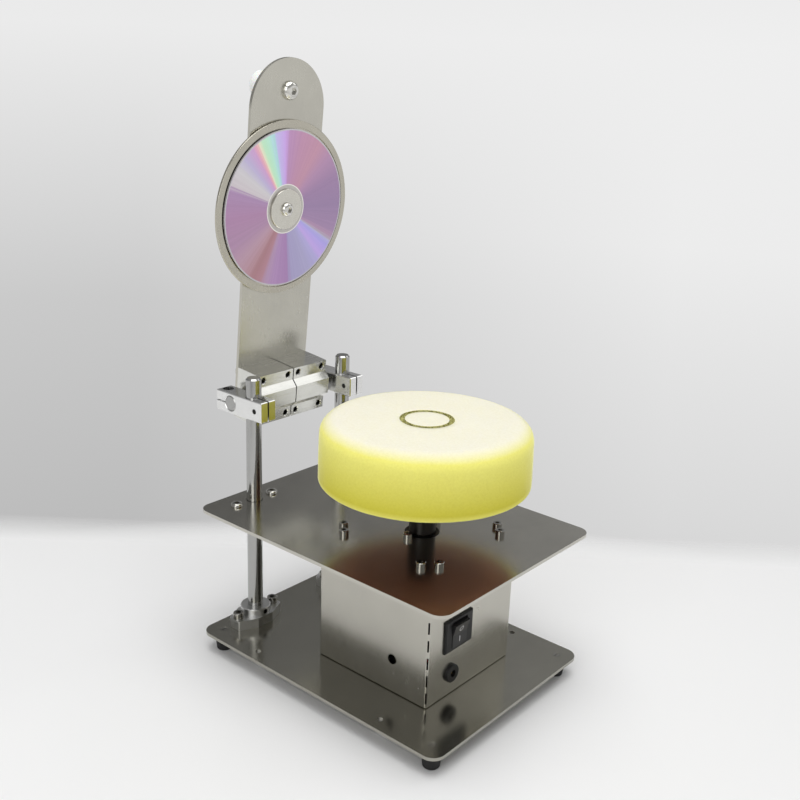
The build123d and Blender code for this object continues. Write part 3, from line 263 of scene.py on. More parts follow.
def polished(name, color, roughness):
    """Ground and polished steel with hairline turning marks."""
    paint = Paint(name, color, metallic=1.0, roughness=roughness)
    rings = paint.noise(paint.place(HAIRLINE_STRETCH), HAIRLINES, detail=2.0)
    wear = paint.noise(paint.place(), GROUND_WEAR, detail=5.0)
    rough = paint.math("ADD", paint.remap(wear, 0.45, 0.8, 0.0, 0.10), roughness)
    tone = paint.ramp(wear, [(0.35, scaled(color, 0.95)), (0.7, color)])
    normal = paint.bump(rings, 0.05, GROUND_RELIEF)
    return paint.wire(base_color=tone, roughness=rough, normal=normal).material


def turned_steel(name, color, roughness, mottle=0.15):
    """Turned and rolled fasteners: mottle is the share of unevenness in tone and gloss."""
    paint = Paint(name, color, metallic=1.0, roughness=roughness)
    grain = paint.noise(paint.place(), TURNED_GRAIN, detail=3.0)
    wear = paint.noise(paint.place(), TURNED_WEAR, detail=3.0)
    tone = paint.ramp(wear, [(0.35, scaled(color, 1 - mottle)), (0.65, color)])
    dulled = paint.remap(grain, 0.3, 0.7, -0.2 * mottle, 0.3 * mottle)
    rough = paint.math("ADD", dulled, roughness)
    normal = paint.bump(grain, 0.4 * mottle, TURNED_RELIEF)
    return paint.wire(base_color=tone, roughness=rough, normal=normal).material


# ------------------------------------------------------------------ plastics and rubber
SPARK_SKIN = 600.0
SPARK_RELIEF = 0.04 * MM
RUBBER_SKIN = 420.0
RUBBER_RELIEF = 0.08 * MM
GLOSSY_RELIEF = 0.02 * MM
WIRE_RELIEF = 0.01 * MM
MOULD_HAZE = 70.0


def moulded(name, color, roughness, texture=SPARK_SKIN, depth=SPARK_RELIEF, **sockets):
    """Moulded plastic with a fine spark-eroded skin."""
    paint = Paint(name, color, roughness=roughness, **sockets)
    skin = paint.noise(paint.place(), texture, detail=3.0)
    haze = paint.noise(paint.place(), MOULD_HAZE, detail=4.0)
    rough = paint.math("ADD", paint.remap(haze, 0.3, 0.7, -0.05, 0.07), roughness)
    tone = paint.ramp(haze, [(0.3, scaled(color, 0.85)), (0.7, color)])
    normal = paint.bump(skin, 0.35, depth)
    return paint.wire(base_color=tone, roughness=rough, normal=normal).material


# ------------------------------------------------------------------ foam
PAD_LOW, PAD_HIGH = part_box("polishing_pad")
PAD_TOP = PAD_HIGH.z
PAD_BOTTOM = PAD_LOW.z
PAD_RADIUS = (PAD_HIGH.x - PAD_LOW.x) / 2
# Painted shade and light on the pad's side: deeper yellow low down as shade, paler higher up as
# light.
FOAM_SHADED_SIDE = (0.640, 0.585, 0.062)
FOAM_LIT_SIDE = (0.900, 0.860, 0.230)
# Painted light: the faces that look up are painted near white.
FOAM_LIT_TOP = (0.840, 0.815, 0.690)
FOAM_SHEEN = (1.0, 1.0, 0.66, 1.0)
FOAM_GLOW = (1.0, 0.9, 0.35)
FOAM_GLOW_REACH = 6.0 * MM
# Distances from the bottom and the top where the side's painted shade ends and its painted light
# begins.
SHADED_SIDE_END = 4.0 * MM
LIT_SIDE_START = 9.0 * MM
# Painted highlight along the bottom rim of the pad's side.
RIM_HIGHLIGHT_BAND = (1.0 * MM, 5.0 * MM)
CELL_DENSITY = 950.0
CELL_RELIEF = 0.3 * MM
PORE_DENSITY = 650.0
PORE_RELIEF = 0.4 * MM
PORE_SHADE = (0.84, 0.82, 0.68)
PATCH_DENSITY = 32.0
PATCH_RELIEF = 1.0 * MM
PATCH_SHADE = (0.94, 0.93, 0.82)
# Painted shade of the ring groove's recess, with paler speckles.
GROOVE_SHADE = (0.17, 0.16, 0.04)
GROOVE_SPECKLE = (0.55, 0.53, 0.22)
SPECKLE_DENSITY = 700.0
SPECKLE_RELIEF = 0.6 * MM
CLOTH_DARK = (0.33, 0.125, 0.050)
CLOTH_PALE = (0.47, 0.195, 0.090)
FELT_DENSITY = 900.0
FELT_RELIEF = 0.4 * MM


def foam_cells(paint):
    """Open cells: noise of the pores, noise of the gentle lumps, and the normal of both."""
    here = paint.place()
    cells = paint.node("TexVoronoi", feature="F1")
    cells.inputs["Scale"].default_value = CELL_DENSITY
    paint.link(here, cells.inputs["Vector"])
    pores = paint.noise(here, PORE_DENSITY, detail=4.0, rough=0.7)
    patch = paint.noise(here, PATCH_DENSITY, detail=4.0)
    normal = paint.bump(cells.outputs["Distance"], 0.25, CELL_RELIEF)
    normal = paint.bump(pores, 0.30, PORE_RELIEF, normal)
    return pores, patch, paint.bump(patch, 0.25, PATCH_RELIEF, normal)


def foam_material():
    """Open-cell foam: painted shade deeper yellow low on the side, painted light paler towards the
    top and near white on top, and a painted highlight along the bottom rim.
    """
    paint = Paint("foam", FOAM_LIT_SIDE, roughness=0.95, specular_ior_level=0.12)
    paint.set(subsurface_weight=0.2, subsurface_scale=FOAM_GLOW_REACH, subsurface_radius=FOAM_GLOW)
    paint.set(sheen_weight=1.0, sheen_roughness=0.25, sheen_tint=FOAM_SHEEN)
    pores, patch, normal = foam_cells(paint)
    place = paint.node("SeparateXYZ")
    paint.link(paint.place(), place.inputs["Vector"])
    level = place.outputs["Z"]
    # Painted shade low on the side, turning to painted light towards the top.
    height = paint.remap(level, PAD_BOTTOM + SHADED_SIDE_END, PAD_TOP - LIT_SIDE_START, 0.0, 1.0)
    # Painted light where the faces look up.
    facing = paint.node("SeparateXYZ")
    geometry = paint.node("NewGeometry")
    paint.link(geometry.outputs["Normal"], facing.inputs["Vector"])
    lit_top = paint.remap(facing.outputs["Z"], 0.50, 1.0, 0.0, 1.0)
    # Painted highlight along the bottom rim, in the side's lit colour.
    rim = paint.remap(level, PAD_BOTTOM + RIM_HIGHLIGHT_BAND[0], PAD_BOTTOM + RIM_HIGHLIGHT_BAND[1], 0.8, 0.0)
    holes = paint.ramp(pores, [(0.30, PORE_SHADE), (0.62, grey(1.0))])
    stains = paint.ramp(patch, [(0.3, PATCH_SHADE), (0.7, grey(1.0))])
    tone = paint.mix(height, FOAM_SHADED_SIDE, FOAM_LIT_SIDE)
    tone = paint.mix(rim, tone, FOAM_LIT_SIDE)
    tone = paint.mix(lit_top, tone, FOAM_LIT_TOP)
    tone = paint.mix(0.35, tone, holes, "MULTIPLY")
    tone = paint.mix(0.3, tone, stains, "MULTIPLY")
    return paint.wire(base_color=tone, normal=normal).material


def groove_material():
    """The ring groove on top: foam in painted shade, dark with paler speckles."""
    paint = Paint("foam_groove", GROOVE_SHADE, roughness=1.0, specular_ior_level=0.1)
    speckle = paint.noise(paint.place(), SPECKLE_DENSITY, detail=4.0)
    tone = paint.ramp(speckle, [(0.38, GROOVE_SHADE), (0.62, GROOVE_SPECKLE)])
    return paint.wire(base_color=tone, normal=paint.bump(speckle, 0.6, SPECKLE_RELIEF)).material


def backing_material():
    """The hook-and-loop cloth under the foam: dark reddish brown and felted."""
    paint = Paint("pad_backing", CLOTH_DARK, roughness=1.0, sheen_weight=0.1)
    felt = paint.noise(paint.place(), FELT_DENSITY, detail=4.0)
    tone = paint.ramp(felt, [(0.35, CLOTH_DARK), (0.65, CLOTH_PALE)])
    return paint.wire(base_color=tone, normal=paint.bump(felt, 0.5, FELT_RELIEF)).material


# ------------------------------------------------------------------ disc
# Degrees round the disc's face, clockwise from its right, and the colour there.
# These colours are painted diffraction: the rainbow light off the disc's tracks, fixed on its
# face.
PAINTED_DIFFRACTION = [
    (0, (0.30, 0.20, 0.36)),
    (22, (0.34, 0.22, 0.38)),
    (27, (0.42, 0.26, 0.40)),
    (29, (0.46, 0.46, 0.56)),
    (34, (0.40, 0.35, 0.88)),
    (44, (0.52, 0.37, 0.92)),
    (49, (0.42, 0.38, 0.68)),
    (60, (0.38, 0.35, 0.56)),
    (79, (0.36, 0.32, 0.54)),
    (83, (0.36, 0.20, 0.42)),
    (99, (0.40, 0.24, 0.46)),
    (107, (0.42, 0.27, 0.42)),
    (112, (0.42, 0.21, 0.26)),
    (121, (0.37, 0.18, 0.21)),
    (127, (0.44, 0.25, 0.30)),
    (139, (0.46, 0.29, 0.38)),
    (153, (0.40, 0.24, 0.38)),
    (176, (0.40, 0.22, 0.38)),
    (198, (0.38, 0.24, 0.42)),
    (201, (0.58, 0.52, 0.56)),
    (213, (0.60, 0.58, 0.60)),
    (223, (0.48, 0.43, 0.64)),
    (232, (0.58, 0.34, 0.60)),
    (236, (0.78, 0.38, 0.44)),
    (239, (0.80, 0.74, 0.56)),
    (242, (0.50, 0.76, 0.52)),
    (248, (0.46, 0.78, 0.62)),
    (253, (0.42, 0.66, 0.72)),
    (257, (0.52, 0.46, 0.82)),
    (265, (0.58, 0.36, 0.78)),
    (270, (0.46, 0.25, 0.46)),
    (284, (0.48, 0.25, 0.39)),
    (304, (0.50, 0.26, 0.36)),
    (318, (0.42, 0.24, 0.40)),
    (336, (0.32, 0.20, 0.36)),
    (360, (0.30, 0.20, 0.36)),
]
# Gain and lift of the painted diffraction colours.
FAN_GAIN = 1.26
FAN_HAZE = 0.02
STREAK_DENSITY = 130.0
STREAK_WOBBLE = 0.010
HUB_CLEAR_RADIUS = 18.9 * MM
HUB_CLEAR_BLEND = 0.2 * MM
# Painted highlight: a thin near-white ring at the edge of the clear hub zone.
HUB_RING = (18.2 * MM, 18.4 * MM)
HUB_TONE = (0.55, 0.53, 0.50)
HUB_RING_HIGHLIGHT = (0.95, 0.92, 0.88)
DISC_RIM_RADIUS = 58.8 * MM
DISC_RIM_BLEND = 0.3 * MM
DISC_RIM_TONE = (0.60, 0.58, 0.62)
DISC_HAZE = 60.0


def painted_diffraction_fans(paint, share):
    """Painted diffraction colour by share of a turn, from two ramps, because one ramp holds 32
    stops.
    """
    half = len(PAINTED_DIFFRACTION) // 2
    ramps = []
    for fans in (PAINTED_DIFFRACTION[:half + 1], PAINTED_DIFFRACTION[half:]):
        stops = []
        for angle, color in fans:
            lit = tuple(min(1.0, FAN_HAZE + FAN_GAIN * channel) for channel in color)
            stops.append((angle / 360.0, lit))
        ramps.append(paint.ramp(share, stops))
    second = paint.math("GREATER_THAN", share, PAINTED_DIFFRACTION[half][0] / 360.0)
    return paint.mix(second, ramps[0], ramps[1])


def disc_material():
    """Recorded disc side: painted diffraction colour in fans round a plain hub zone, which has a
    painted highlight ring at its edge.
    """
    paint = Paint("disc", (0.5, 0.4, 0.55), metallic=0.70, roughness=0.20)
    paint.set(coat_weight=0.6, coat_roughness=0.03)
    here = paint.place(rotation=(ARM_LEAN, 0, 0), location=tuple(DISC_CENTRE))
    part = paint.node("SeparateXYZ")
    paint.link(here, part.inputs["Vector"])
    downward = paint.math("MULTIPLY", part.outputs["Z"], -1.0)
    turn = paint.math("ARCTAN2", downward, part.outputs["X"])
    share = paint.math("FRACT", paint.math("ADD", paint.math("DIVIDE", turn, 2 * math.pi), 1.0))
    streak_place = paint.node("CombineXYZ")
    paint.link(share, streak_place.inputs["X"])
    streaks = paint.noise(streak_place.outputs["Vector"], STREAK_DENSITY, detail=5.0, rough=0.8)
    wobble = paint.remap(streaks, 0.3, 0.7, -STREAK_WOBBLE, STREAK_WOBBLE)
    fans = painted_diffraction_fans(paint, paint.math("FRACT", paint.math("ADD", share, wobble)))
    shade = paint.ramp(streaks, [(0.30, grey(0.80)), (0.70, grey(1.04))])
    fans = paint.mix(0.7, fans, shade, "MULTIPLY")
    across = paint.math("MULTIPLY", part.outputs["X"], part.outputs["X"])
    height = paint.math("MULTIPLY", part.outputs["Z"], part.outputs["Z"])
    radius = paint.math("SQRT", paint.math("ADD", across, height))
    inner = paint.remap(radius, HUB_CLEAR_RADIUS, HUB_CLEAR_RADIUS + HUB_CLEAR_BLEND, 0.0, 1.0)
    # Painted highlight ring at the edge of the clear hub zone.
    ring_highlight = paint.remap(radius, *HUB_RING, 0.0, 1.0)
    rim = paint.remap(radius, DISC_RIM_RADIUS, DISC_RIM_RADIUS + DISC_RIM_BLEND, 1.0, 0.0)
    tone = paint.mix(inner, paint.mix(ring_highlight, HUB_TONE, HUB_RING_HIGHLIGHT), fans)
    tone = paint.mix(rim, DISC_RIM_TONE, tone)
    haze = paint.noise(paint.place(), DISC_HAZE, detail=3.0)
    rough = paint.remap(haze, 0.3, 0.7, 0.15, 0.23)
    return paint.wire(base_color=tone, roughness=rough).material


# ------------------------------------------------------------------ pad
# Material slots of the pad's faces.
FOAM = 0
GROOVE = 1
BACKING = 2
PLUG_RADIUS = 16.5 * MM
GROOVE_WIDTH = 2.9 * MM
GROOVE_DEPTH = 1.8 * MM
GROOVE_BRIM = 0.5 * MM
GROOVE_LIP = (0.1 * MM, 0.3 * MM)
GROOVE_WALL = 0.9 * MM
GROOVE_FOOT = 0.3 * MM
EDGE_RADIUS = 12.0 * MM
LOW_EDGE_RADIUS = 2.5 * MM
TOP_DRAW = 1.0 * MM
SWELL_END = 1.3
BACKING_RADIUS = 71.0 * MM
BACKING_MARGIN = 0.5 * MM
BACKING_RINGS = (50 * MM, 20 * MM)
PAD_SEGMENTS = 192
TOP_STEPS = 9
SIDE_STEPS = 12
LOW_EDGE_STEPS = 5
FOAM_ROUGHNESS = 0.27 * MM
ROUGH_FROM_RADIUS = 60 * MM
LUMP_DENSITY = 55.0
CRUMB_DENSITY = 190.0
CRUMB_SHARE = 0.4


def groove_profile():
    """The centre plug and the ring groove round it, from the middle outwards."""
    top = PAD_TOP
    plug = PLUG_RADIUS
    outer = plug + GROOVE_WIDTH
    lip, drop = GROOVE_LIP
    floor = top - GROOVE_DEPTH
    points = [(radius, top, FOAM) for radius in (0.0, plug * 0.4, plug * 0.8, plug - GROOVE_BRIM)]
    ring = [
        (plug - lip, top - drop),
        (plug, top - GROOVE_WALL),
        (plug + GROOVE_FOOT, floor),
        (outer - GROOVE_FOOT, floor),
        (outer, top - GROOVE_WALL),
        (outer + lip, top - drop),
    ]
    points += [(radius, height, GROOVE) for radius, height in ring]
    points.append((outer + GROOVE_BRIM, top, FOAM))
    return points


def pad_profile():
    """Radius, height and slot from the middle of the top, over the edge and in under the pad."""
    points = groove_profile()
    outer = PLUG_RADIUS + GROOVE_WIDTH
    top_radius = PAD_RADIUS - TOP_DRAW
    flat_end = top_radius - EDGE_RADIUS
    for step in range(1, TOP_STEPS):
        points.append((outer + (flat_end - outer) * step / TOP_STEPS, PAD_TOP, FOAM))
    for step in range(TOP_STEPS + 1):
        angle = math.pi / 2 * step / TOP_STEPS
        radius = flat_end + EDGE_RADIUS * math.sin(angle)
        points.append((radius, PAD_TOP - EDGE_RADIUS * (1 - math.cos(angle)), FOAM))
    side_top = PAD_TOP - EDGE_RADIUS
    side_low = PAD_BOTTOM + LOW_EDGE_RADIUS
    side_radius = PAD_RADIUS - 2 * FOAM_ROUGHNESS
    for step in range(1, SIDE_STEPS + 1):
        share = step / SIDE_STEPS
        swell = math.sin(math.pi / 2 * min(1.0, share * SWELL_END))
        radius = top_radius + (side_radius - top_radius) * swell
        points.append((radius, side_top + (side_low - side_top) * share, FOAM))
    low_radius = points[-1][0]
    for step in range(1, LOW_EDGE_STEPS + 1):
        angle = math.pi / 2 * step / LOW_EDGE_STEPS
        radius = low_radius - LOW_EDGE_RADIUS * (1 - math.cos(angle))
        points.append((radius, side_low - LOW_EDGE_RADIUS * math.sin(angle), FOAM))
    points.append((BACKING_RADIUS + BACKING_MARGIN, PAD_BOTTOM, FOAM))
    points += [(radius, PAD_BOTTOM, BACKING) for radius in (BACKING_RADIUS, *BACKING_RINGS, 0.0)]
    return points


def pad_vertex(angle, radius, height):
    """A point of the pad, pushed in or out a little on the side, where the foam was cut."""
    outward = Vector((math.cos(angle), math.sin(angle), 0))
    spot = Vector((radius * math.cos(angle), radius * math.sin(angle), height))
    if radius > ROUGH_FROM_RADIUS:
        lump = noise.noise(spot * LUMP_DENSITY) * (1 - CRUMB_SHARE)
        crumb = noise.noise(spot * CRUMB_DENSITY) * CRUMB_SHARE
        spot += outward * (lump + crumb) * FOAM_ROUGHNESS
    return PAD_AXIS.xy.to_3d() + spot


def pad_mesh():
    """Vertices, faces and slots of the turned profile, closed above and below by a fan."""
    rows = pad_profile()[1:-1]
    vertices = []
    faces = []
    slots = []
    for radius, height, _ in rows:
        for number in range(PAD_SEGMENTS):
            vertices.append(pad_vertex(2 * math.pi * number / PAD_SEGMENTS, radius, height))
    for row in range(len(rows) - 1):
        slot = max(rows[row][2], rows[row + 1][2])
        low = row * PAD_SEGMENTS
        high = low + PAD_SEGMENTS
        for number in range(PAD_SEGMENTS):
            after = (number + 1) % PAD_SEGMENTS
            faces.append((low + number, high + number, high + after, low + after))
            slots.append(slot)
    centre_top = len(vertices)
    vertices.append(PAD_AXIS.xy.to_3d() + Vector((0, 0, PAD_TOP)))
    centre_low = len(vertices)
    vertices.append(PAD_AXIS.xy.to_3d() + Vector((0, 0, PAD_BOTTOM)))
    last = (len(rows) - 1) * PAD_SEGMENTS
    for number in range(PAD_SEGMENTS):
        after = (number + 1) % PAD_SEGMENTS
        faces.append((centre_top, number, after))
        faces.append((centre_low, last + after, last + number))
        slots += [FOAM, BACKING]
    return vertices, faces, slots


def make_pad(materials):
    """The foam wheel, which stands in for the pad of the frame."""
    vertices, faces, slots = pad_mesh()
    mesh = bpy.data.meshes.new("foam_pad")
    mesh.from_pydata([tuple(vertex) for vertex in vertices], [], faces)
    for material in materials:
        mesh.materials.append(material)
    for polygon, slot in zip(mesh.polygons, slots):
        polygon.material_index = slot
        polygon.use_smooth = True
    mesh.update()
    pad = bpy.data.objects.new("foam_pad", mesh)
    bpy.context.scene.collection.objects.link(pad)
    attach(pad, "pad_drive")
    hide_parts("polishing_pad")


# ------------------------------------------------------------------ marks on the rocker
ROCKER_TILT = math.radians(8.0)
ROCKER_REACH = 5.352 * MM
MARK_HEIGHT = 4.4 * MM
MARK_LIFT = 0.04 * MM
RING_INNER = 1.55 * MM
RING_OUTER = 2.15 * MM
RING_STEPS = 40
BAR_HALF_WIDTH = 0.35 * MM
BAR_HALF_HEIGHT = 2.1 * MM


def on_rocker(side, across, along):
    """A point on the upper (1) or lower (-1) flat of the rocker at rest."""
    v = side * MARK_HEIGHT + along
    depth = -(ROCKER_REACH + abs(v) * math.tan(ROCKER_TILT)) - MARK_LIFT
    y = depth * math.cos(ROCKER_TILT) - v * math.sin(ROCKER_TILT)
    z = depth * math.sin(ROCKER_TILT) + v * math.cos(ROCKER_TILT)
    return ROCKER_PIVOT + Vector((across, y, z))


def rocker_mark(name, corners, polygons, material):
    """A printed mark that moves with the rocker."""
    mesh = bpy.data.meshes.new(name)
    mesh.from_pydata([tuple(corner) for corner in corners], [], polygons)
    mesh.materials.append(material)
    mark = bpy.data.objects.new(name, mesh)
    bpy.context.scene.collection.objects.link(mark)
    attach(mark, "rocker")


def rocker_marks(material):
    """A ring for off and a bar for on, printed on the two flats of the rocker."""
    ring = []
    band = []
    for number in range(RING_STEPS):
        angle = 2 * math.pi * number / RING_STEPS
        for radius in (RING_INNER, RING_OUTER):
            ring.append(on_rocker(1, radius * math.cos(angle), radius * math.sin(angle)))
        here = 2 * number
        after = 2 * ((number + 1) % RING_STEPS)
        band.append((here, after, after + 1, here + 1))
    rocker_mark("off_mark", ring, band, material)
    x = BAR_HALF_WIDTH
    z = BAR_HALF_HEIGHT
    bar = [on_rocker(-1, *corner) for corner in ((-x, -z), (x, -z), (x, z), (-x, z))]
    rocker_mark("on_mark", bar, [(0, 1, 2, 3)], material)


# ------------------------------------------------------------------ floor, world and light
FLOOR_COLOR = grey(0.87)
FLOOR_CLOUDS = 3.0
FLOOR_REACH = 1.2
# Metres over which the floor fades: outwards from the machine, and behind it towards the wall.
FLOOR_FADE = (0.45, 0.75)
WALL_FADE = (0.19, 0.245)
TOWARD_WALL = Vector((0.766, 0.642, 0.0))
# Height of a direction, from -1 straight down to 1 straight up, and the brightness there.
FLOOR_LEVELS = [(-1.0, 0.855), (-0.435, 0.850)]
LEFT_WALL = [(-0.415, 0.50), (-0.21, 0.59), (-0.08, 0.72), (0.03, 0.83), (0.145, 0.81)]
LEFT_ABOVE = [(0.215, 0.12), (0.45, 0.10), (0.70, 0.35), (1.0, 0.62)]
RIGHT_WALL = [(-0.415, 0.68), (-0.24, 0.78), (-0.15, 0.84), (0.03, 0.86), (0.145, 0.82)]
RIGHT_ABOVE = [(0.225, 0.44), (0.45, 0.34), (0.70, 0.45), (1.0, 0.62)]
FAR_LEFT = [(-1.0, 0.84), (-0.10, 0.84), (0.03, 0.60), (0.15, 0.30), (0.70, 0.35), (1.0, 0.62)]
SIDEWAYS = Vector((0.642, -0.766, 0.0))
SIDE_BLEND = 0.25
FAR_LEFT_BLEND = (-0.75, -0.50)
LIGHT_AIM = Vector((0, 0, 0.2))
# Place, size in metres and power in watts.
LIGHTS = {
    "overhead": ((-0.1, -0.1, 1.6), (1.3, 1.3), 15.0),
    "left_key": ((-1.4, -0.4, 0.9), (0.9, 1.0), 6.0),
    "right_fill": ((1.2, -0.50, 1.25), (0.7, 0.7), 1.6),
}


def make_floor():
    """A pale floor that gives way to the backdrop a little way behind the machine."""
    paint = Paint("floor", FLOOR_COLOR, roughness=0.75, specular_ior_level=0.2)
    here = paint.place()
    cloud = paint.noise(here, FLOOR_CLOUDS, detail=3.0)
    tone = paint.ramp(cloud, [(0.3, scaled(FLOOR_COLOR, 0.985)), (0.7, FLOOR_COLOR)])
    length = paint.node("VectorMath", operation="LENGTH")
    paint.link(here, length.inputs[0])
    depth = paint.node("VectorMath", operation="DOT_PRODUCT")
    depth.inputs[1].default_value = TOWARD_WALL
    paint.link(here, depth.inputs[0])
    near = paint.remap(length.outputs["Value"], *FLOOR_FADE, 1.0, 0.0)
    before = paint.remap(depth.outputs["Value"], *WALL_FADE, 1.0, 0.0)
    solid = paint.math("MULTIPLY", near, before)
    paint.wire(base_color=tone, alpha=solid)
    reach = FLOOR_REACH
    corners = [(-reach, -reach, 0), (reach, -reach, 0), (reach, reach, 0), (-reach, reach, 0)]
    mesh = bpy.data.meshes.new("floor")
    mesh.from_pydata(corners, [], [(0, 1, 2, 3)])
    mesh.materials.append(paint.material)
    floor = bpy.data.objects.new("floor", mesh)
    bpy.context.scene.collection.objects.link(floor)


def sky_ramp(tree, height, stops):
    """Brightness by the height of the direction, which comes in as 0 for down and 1 for up."""
    ramp = tree.nodes.new("ShaderNodeValToRGB")
    tree.links.new(height, ramp.inputs["Fac"])
    elements = ramp.color_ramp.elements
    while len(elements) < len(stops):
        elements.new(0.5)
    for element, (z, level) in zip(elements, stops):
        element.position = (z + 1) / 2
        element.color = (*grey(level), 1.0)
    return ramp.outputs["Color"]


def between(tree, value, low, high):
    """0 below low, 1 above high, and even in between."""
    share = tree.nodes.new("ShaderNodeMapRange")
    share.inputs["From Min"].default_value = low
    share.inputs["From Max"].default_value = high
    tree.links.new(value, share.inputs["Value"])
    return share.outputs["Result"]


def blend(tree, share, first, second):
    """The first colour at share 0, the second at share 1."""
    made = tree.nodes.new("ShaderNodeMixRGB")
    for socket, source in zip(made.inputs, (share, first, second)):
        tree.links.new(source, socket)
    return made.outputs["Color"]


def make_world():
    """A pale floor and wall, dimmer on the left, under a dim band that the metal reflects."""
    world = bpy.data.worlds.new("studio")
    bpy.context.scene.world = world
    world.use_nodes = True
    tree = world.node_tree
    tree.nodes.clear()
    direction = tree.nodes.new("ShaderNodeTexCoord").outputs["Generated"]
    part = tree.nodes.new("ShaderNodeSeparateXYZ")
    along = tree.nodes.new("ShaderNodeVectorMath")
    along.operation = "DOT_PRODUCT"
    along.inputs[1].default_value = SIDEWAYS
    tree.links.new(direction, part.inputs["Vector"])
    tree.links.new(direction, along.inputs[0])
    height = between(tree, part.outputs["Z"], -1.0, 1.0)
    side = between(tree, along.outputs["Value"], -SIDE_BLEND, SIDE_BLEND)
    far_left = between(tree, along.outputs["Value"], *FAR_LEFT_BLEND)
    left = sky_ramp(tree, height, FLOOR_LEVELS + LEFT_WALL + LEFT_ABOVE)
    right = sky_ramp(tree, height, FLOOR_LEVELS + RIGHT_WALL + RIGHT_ABOVE)
    room = blend(tree, side, left, right)
    room = blend(tree, far_left, sky_ramp(tree, height, FAR_LEFT), room)
    background = tree.nodes.new("ShaderNodeBackground")
    output = tree.nodes.new("ShaderNodeOutputWorld")
    tree.links.new(room, background.inputs["Color"])
    tree.links.new(background.outputs["Background"], output.inputs["Surface"])


def area_light(name, place, size, power):
    """A soft box that points at the machine."""
    data = bpy.data.lights.new(name, "AREA")
    data.shape = "RECTANGLE"
    data.size = size[0]
    data.size_y = size[1]
    data.energy = power
    light = bpy.data.objects.new(name, data)
    light.location = place
    light.rotation_euler = (LIGHT_AIM - Vector(place)).to_track_quat("-Z", "Y").to_euler()
    bpy.context.scene.collection.objects.link(light)


# ------------------------------------------------------------------ dressing the nodes
EDGE_SEGMENTS = 2
SHARP_ANGLE = math.radians(50)
# Width in millimetres of the small bevel along a piece's edges.
SOFT_EDGES = {
    "box_top_fasteners": 0.30,
    "motor_screws": 0.30,
    "base_support_fasteners": 0.30,
    "clamp_screws": 0.2,
    "cross_clamp_left": 0.12,
    "cross_clamp_right": 0.12,
    "bearing_block_left": 0.15,
    "bearing_block_right": 0.15,
    "base_plate": 0.3,
    "table_plate": 0.3,
    "arm_plate": 0.25,
    "motor_box": 0.1,
    "switch_housing": 0.2,
    "switch_rocker": 0.5,
    "dc_jack_nut": 0.2,
    "hub_screws": 0.1,
}
BASE_STEEL = (0.39, 0.38, 0.335)
TABLE_STEEL = (0.55, 0.535, 0.485)
ARM_STEEL = (0.56, 0.545, 0.485)
BOX_STEEL = (0.50, 0.485, 0.435)
CAN_STEEL = (0.10, 0.10, 0.10)
ROTOR_IRON = (0.42, 0.26, 0.15)
SCREW_STEEL = (0.44, 0.43, 0.40)
BUTTON_STEEL = (0.72, 0.71, 0.67)
WASHER_STEEL = (0.68, 0.66, 0.60)
BLACK_STEEL = (0.035, 0.034, 0.033)
GROUND_STEEL = (0.42, 0.42, 0.41)
CLAMP_ALUMINIUM = (0.84, 0.84, 0.83)
BLOCK_ALUMINIUM = (0.76, 0.76, 0.72)
SUPPORT_ALUMINIUM = (0.60, 0.60, 0.59)
TRAY_METAL = (0.54, 0.515, 0.44)
BRASS = (0.78, 0.58, 0.26)
RUBBER = (0.012, 0.012, 0.012)
BLACK_PLASTIC = (0.006, 0.006, 0.006)
ROCKER_PLASTIC = (0.012, 0.012, 0.013)
BLACK_ANODISED = (0.012, 0.010, 0.008)
BACKING_PLASTIC = (0.38, 0.140, 0.058)
HANDLE_PLASTIC = (0.88, 0.88, 0.86)
FERRITE = (0.06, 0.06, 0.065)
RED_INSULATION = (0.55, 0.02, 0.015)
BLACK_INSULATION = (0.02, 0.02, 0.02)
MARK_WHITE = (0.75, 0.75, 0.75)


def soften_edges(obj, width):
    """A small bevel that catches light along the edges of a hard part."""
    bevel = obj.modifiers.new("edge", "BEVEL")
    bevel.width = width
    bevel.segments = EDGE_SEGMENTS
    bevel.limit_method = "ANGLE"
    bevel.angle_limit = SHARP_ANGLE


def dress(names, material):
    """Give the named nodes one material."""
    for name in names:
        obj = nodes[name]
        obj.data.materials.clear()
        obj.data.materials.append(material)


def both(name):
    return [name + "_left", name + "_right"]


def dress_sheets():
    base = rolled_steel("base_steel", BASE_STEEL, 0.18, grain=(0.1, 1, 1))
    table = rolled_steel("table_steel", TABLE_STEEL, 0.18, grain=(0.1, 1, 1))
    arm = rolled_steel("arm_steel", ARM_STEEL, 0.25, grain=(1, 1, 0.1), lean=ARM_LEAN)
    box = rolled_steel("box_steel", BOX_STEEL, 0.24, grain=(0.5, 0.5, 0.1))
    dress(["base_plate"], base)
    dress(["table_plate"], table)
    dress(["arm_plate"], arm)
    dress(["motor_box"], box)


def dress_fasteners():
    screws = [
        "foot_fasteners", "box_base_fasteners", "box_top_fasteners", "motor_screws",
        "base_support_fasteners", "table_support_fasteners", "hub_screws",
    ]
    others = ["pivot_nut", "bushing_rings", "dc_jack_nut", "pivot_spindle"]
    buttons = ["arm_screws", "handle_screw", "disc_screw"]
    dress(screws + others, turned_steel("screw_steel", SCREW_STEEL, 0.13))
    dress(buttons, turned_steel("button_steel", BUTTON_STEEL, 0.12))
    dress(["clamp_washer"], turned_steel("washer_steel", WASHER_STEEL, 0.24, mottle=0.03))
    dress(["clamp_screws", "support_set_screws"], turned_steel("black_steel", BLACK_STEEL, 0.30))


def dress_aluminium():
    cut = machined("machined_aluminium", CLAMP_ALUMINIUM, 0.20, tool=(0.05, 1, 1))
    block = machined("block_aluminium", BLOCK_ALUMINIUM, 0.24, tool=(0.03, 1, 1), lean=ARM_LEAN)
    support = machined("support_aluminium", SUPPORT_ALUMINIUM, 0.32)
    dress(both("cross_clamp"), cut)
    dress(both("bearing_block") + ["pivot_housing"], block)
    dress(both("base_shaft_support") + both("table_shaft_support"), support)
    dress(["disc_tray"], machined("tray_metal", TRAY_METAL, 0.24, lean=ARM_LEAN))


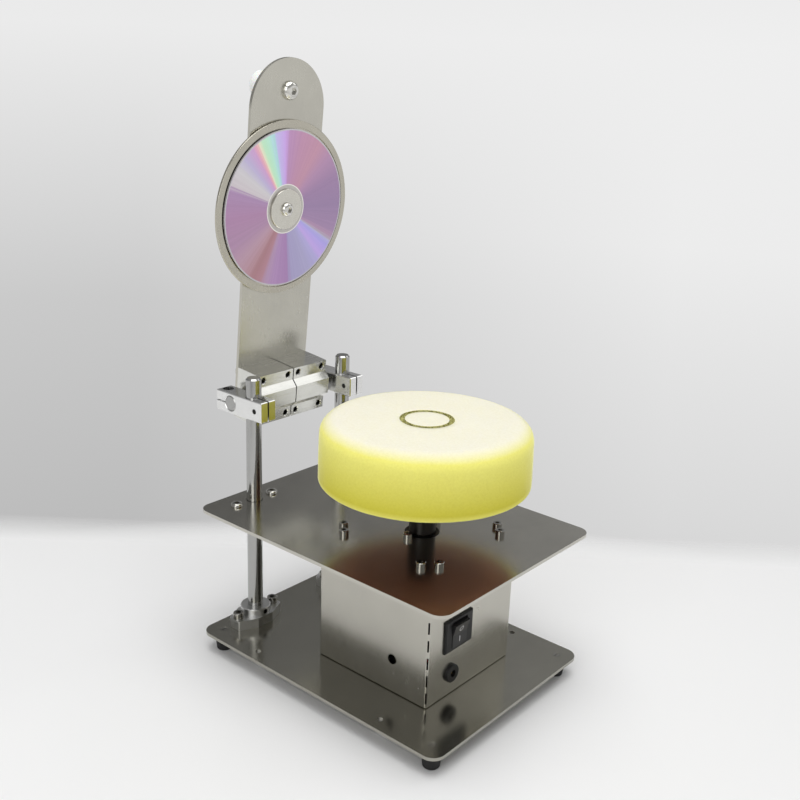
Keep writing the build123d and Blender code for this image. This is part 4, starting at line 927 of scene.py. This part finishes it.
def dress_shafts_and_motor():
    shafts = both("guide_post") + both("linear_bushing")
    shafts += ["hinge_shaft", "pivot_bearings", "rotor_shaft"]
    dress(shafts, polished("ground_steel", GROUND_STEEL, 0.10))
    dress(["motor_can"], rolled_steel("can_steel", CAN_STEEL, 0.35))
    dress(["motor_bearings", "terminals", "dc_jack_contacts"], polished("brass", BRASS, 0.22))
    dress(["rotor_core"], rolled_steel("rotor_iron", ROTOR_IRON, 0.42, grain=(1, 1, 12)))


def dress_plastics():
    rubber = moulded("rubber", RUBBER, 0.75, texture=RUBBER_SKIN, depth=RUBBER_RELIEF)
    black = moulded("black_plastic", BLACK_PLASTIC, 0.42, specular_ior_level=0.35)
    knob = moulded(
        "handle_plastic", HANDLE_PLASTIC, 0.32, depth=GLOSSY_RELIEF, subsurface_weight=0.1
    )
    red = moulded("red_insulation", RED_INSULATION, 0.35, depth=WIRE_RELIEF)
    dark = moulded("black_insulation", BLACK_INSULATION, 0.35, depth=WIRE_RELIEF)
    dress(["rubber_feet", "disc_mat"], rubber)
    dress(["switch_housing", "dc_jack_body", "motor_end_cap"], black)
    dress(["switch_rocker"], moulded("rocker_plastic", ROCKER_PLASTIC, 0.42))
    dress(["pad_hub"], moulded("black_anodised", BLACK_ANODISED, 0.34, metallic=0.3))
    dress(["backing_plate"], moulded("backing_plastic", BACKING_PLASTIC, 0.65))
    dress(["handle"], knob)
    dress(["disc"], disc_material())
    dress(["motor_magnets"], moulded("ferrite", FERRITE, 0.6))
    dress(["wire_jack_to_switch", "wire_switch_to_motor"], red)
    dress(["wire_jack_to_motor"], dark)


make_camera()
bpy.context.scene.view_settings.view_transform = "Standard"
dress_sheets()
dress_fasteners()
dress_aluminium()
dress_shafts_and_motor()
dress_plastics()
for node_name, edge in SOFT_EDGES.items():
    soften_edges(nodes[node_name], edge * MM)
make_pad([foam_material(), groove_material(), backing_material()])
rocker_marks(moulded("mark_white", MARK_WHITE, 0.5))
make_floor()
make_world()
for light_name, (place, size, power) in LIGHTS.items():
    area_light(light_name, place, size, power)
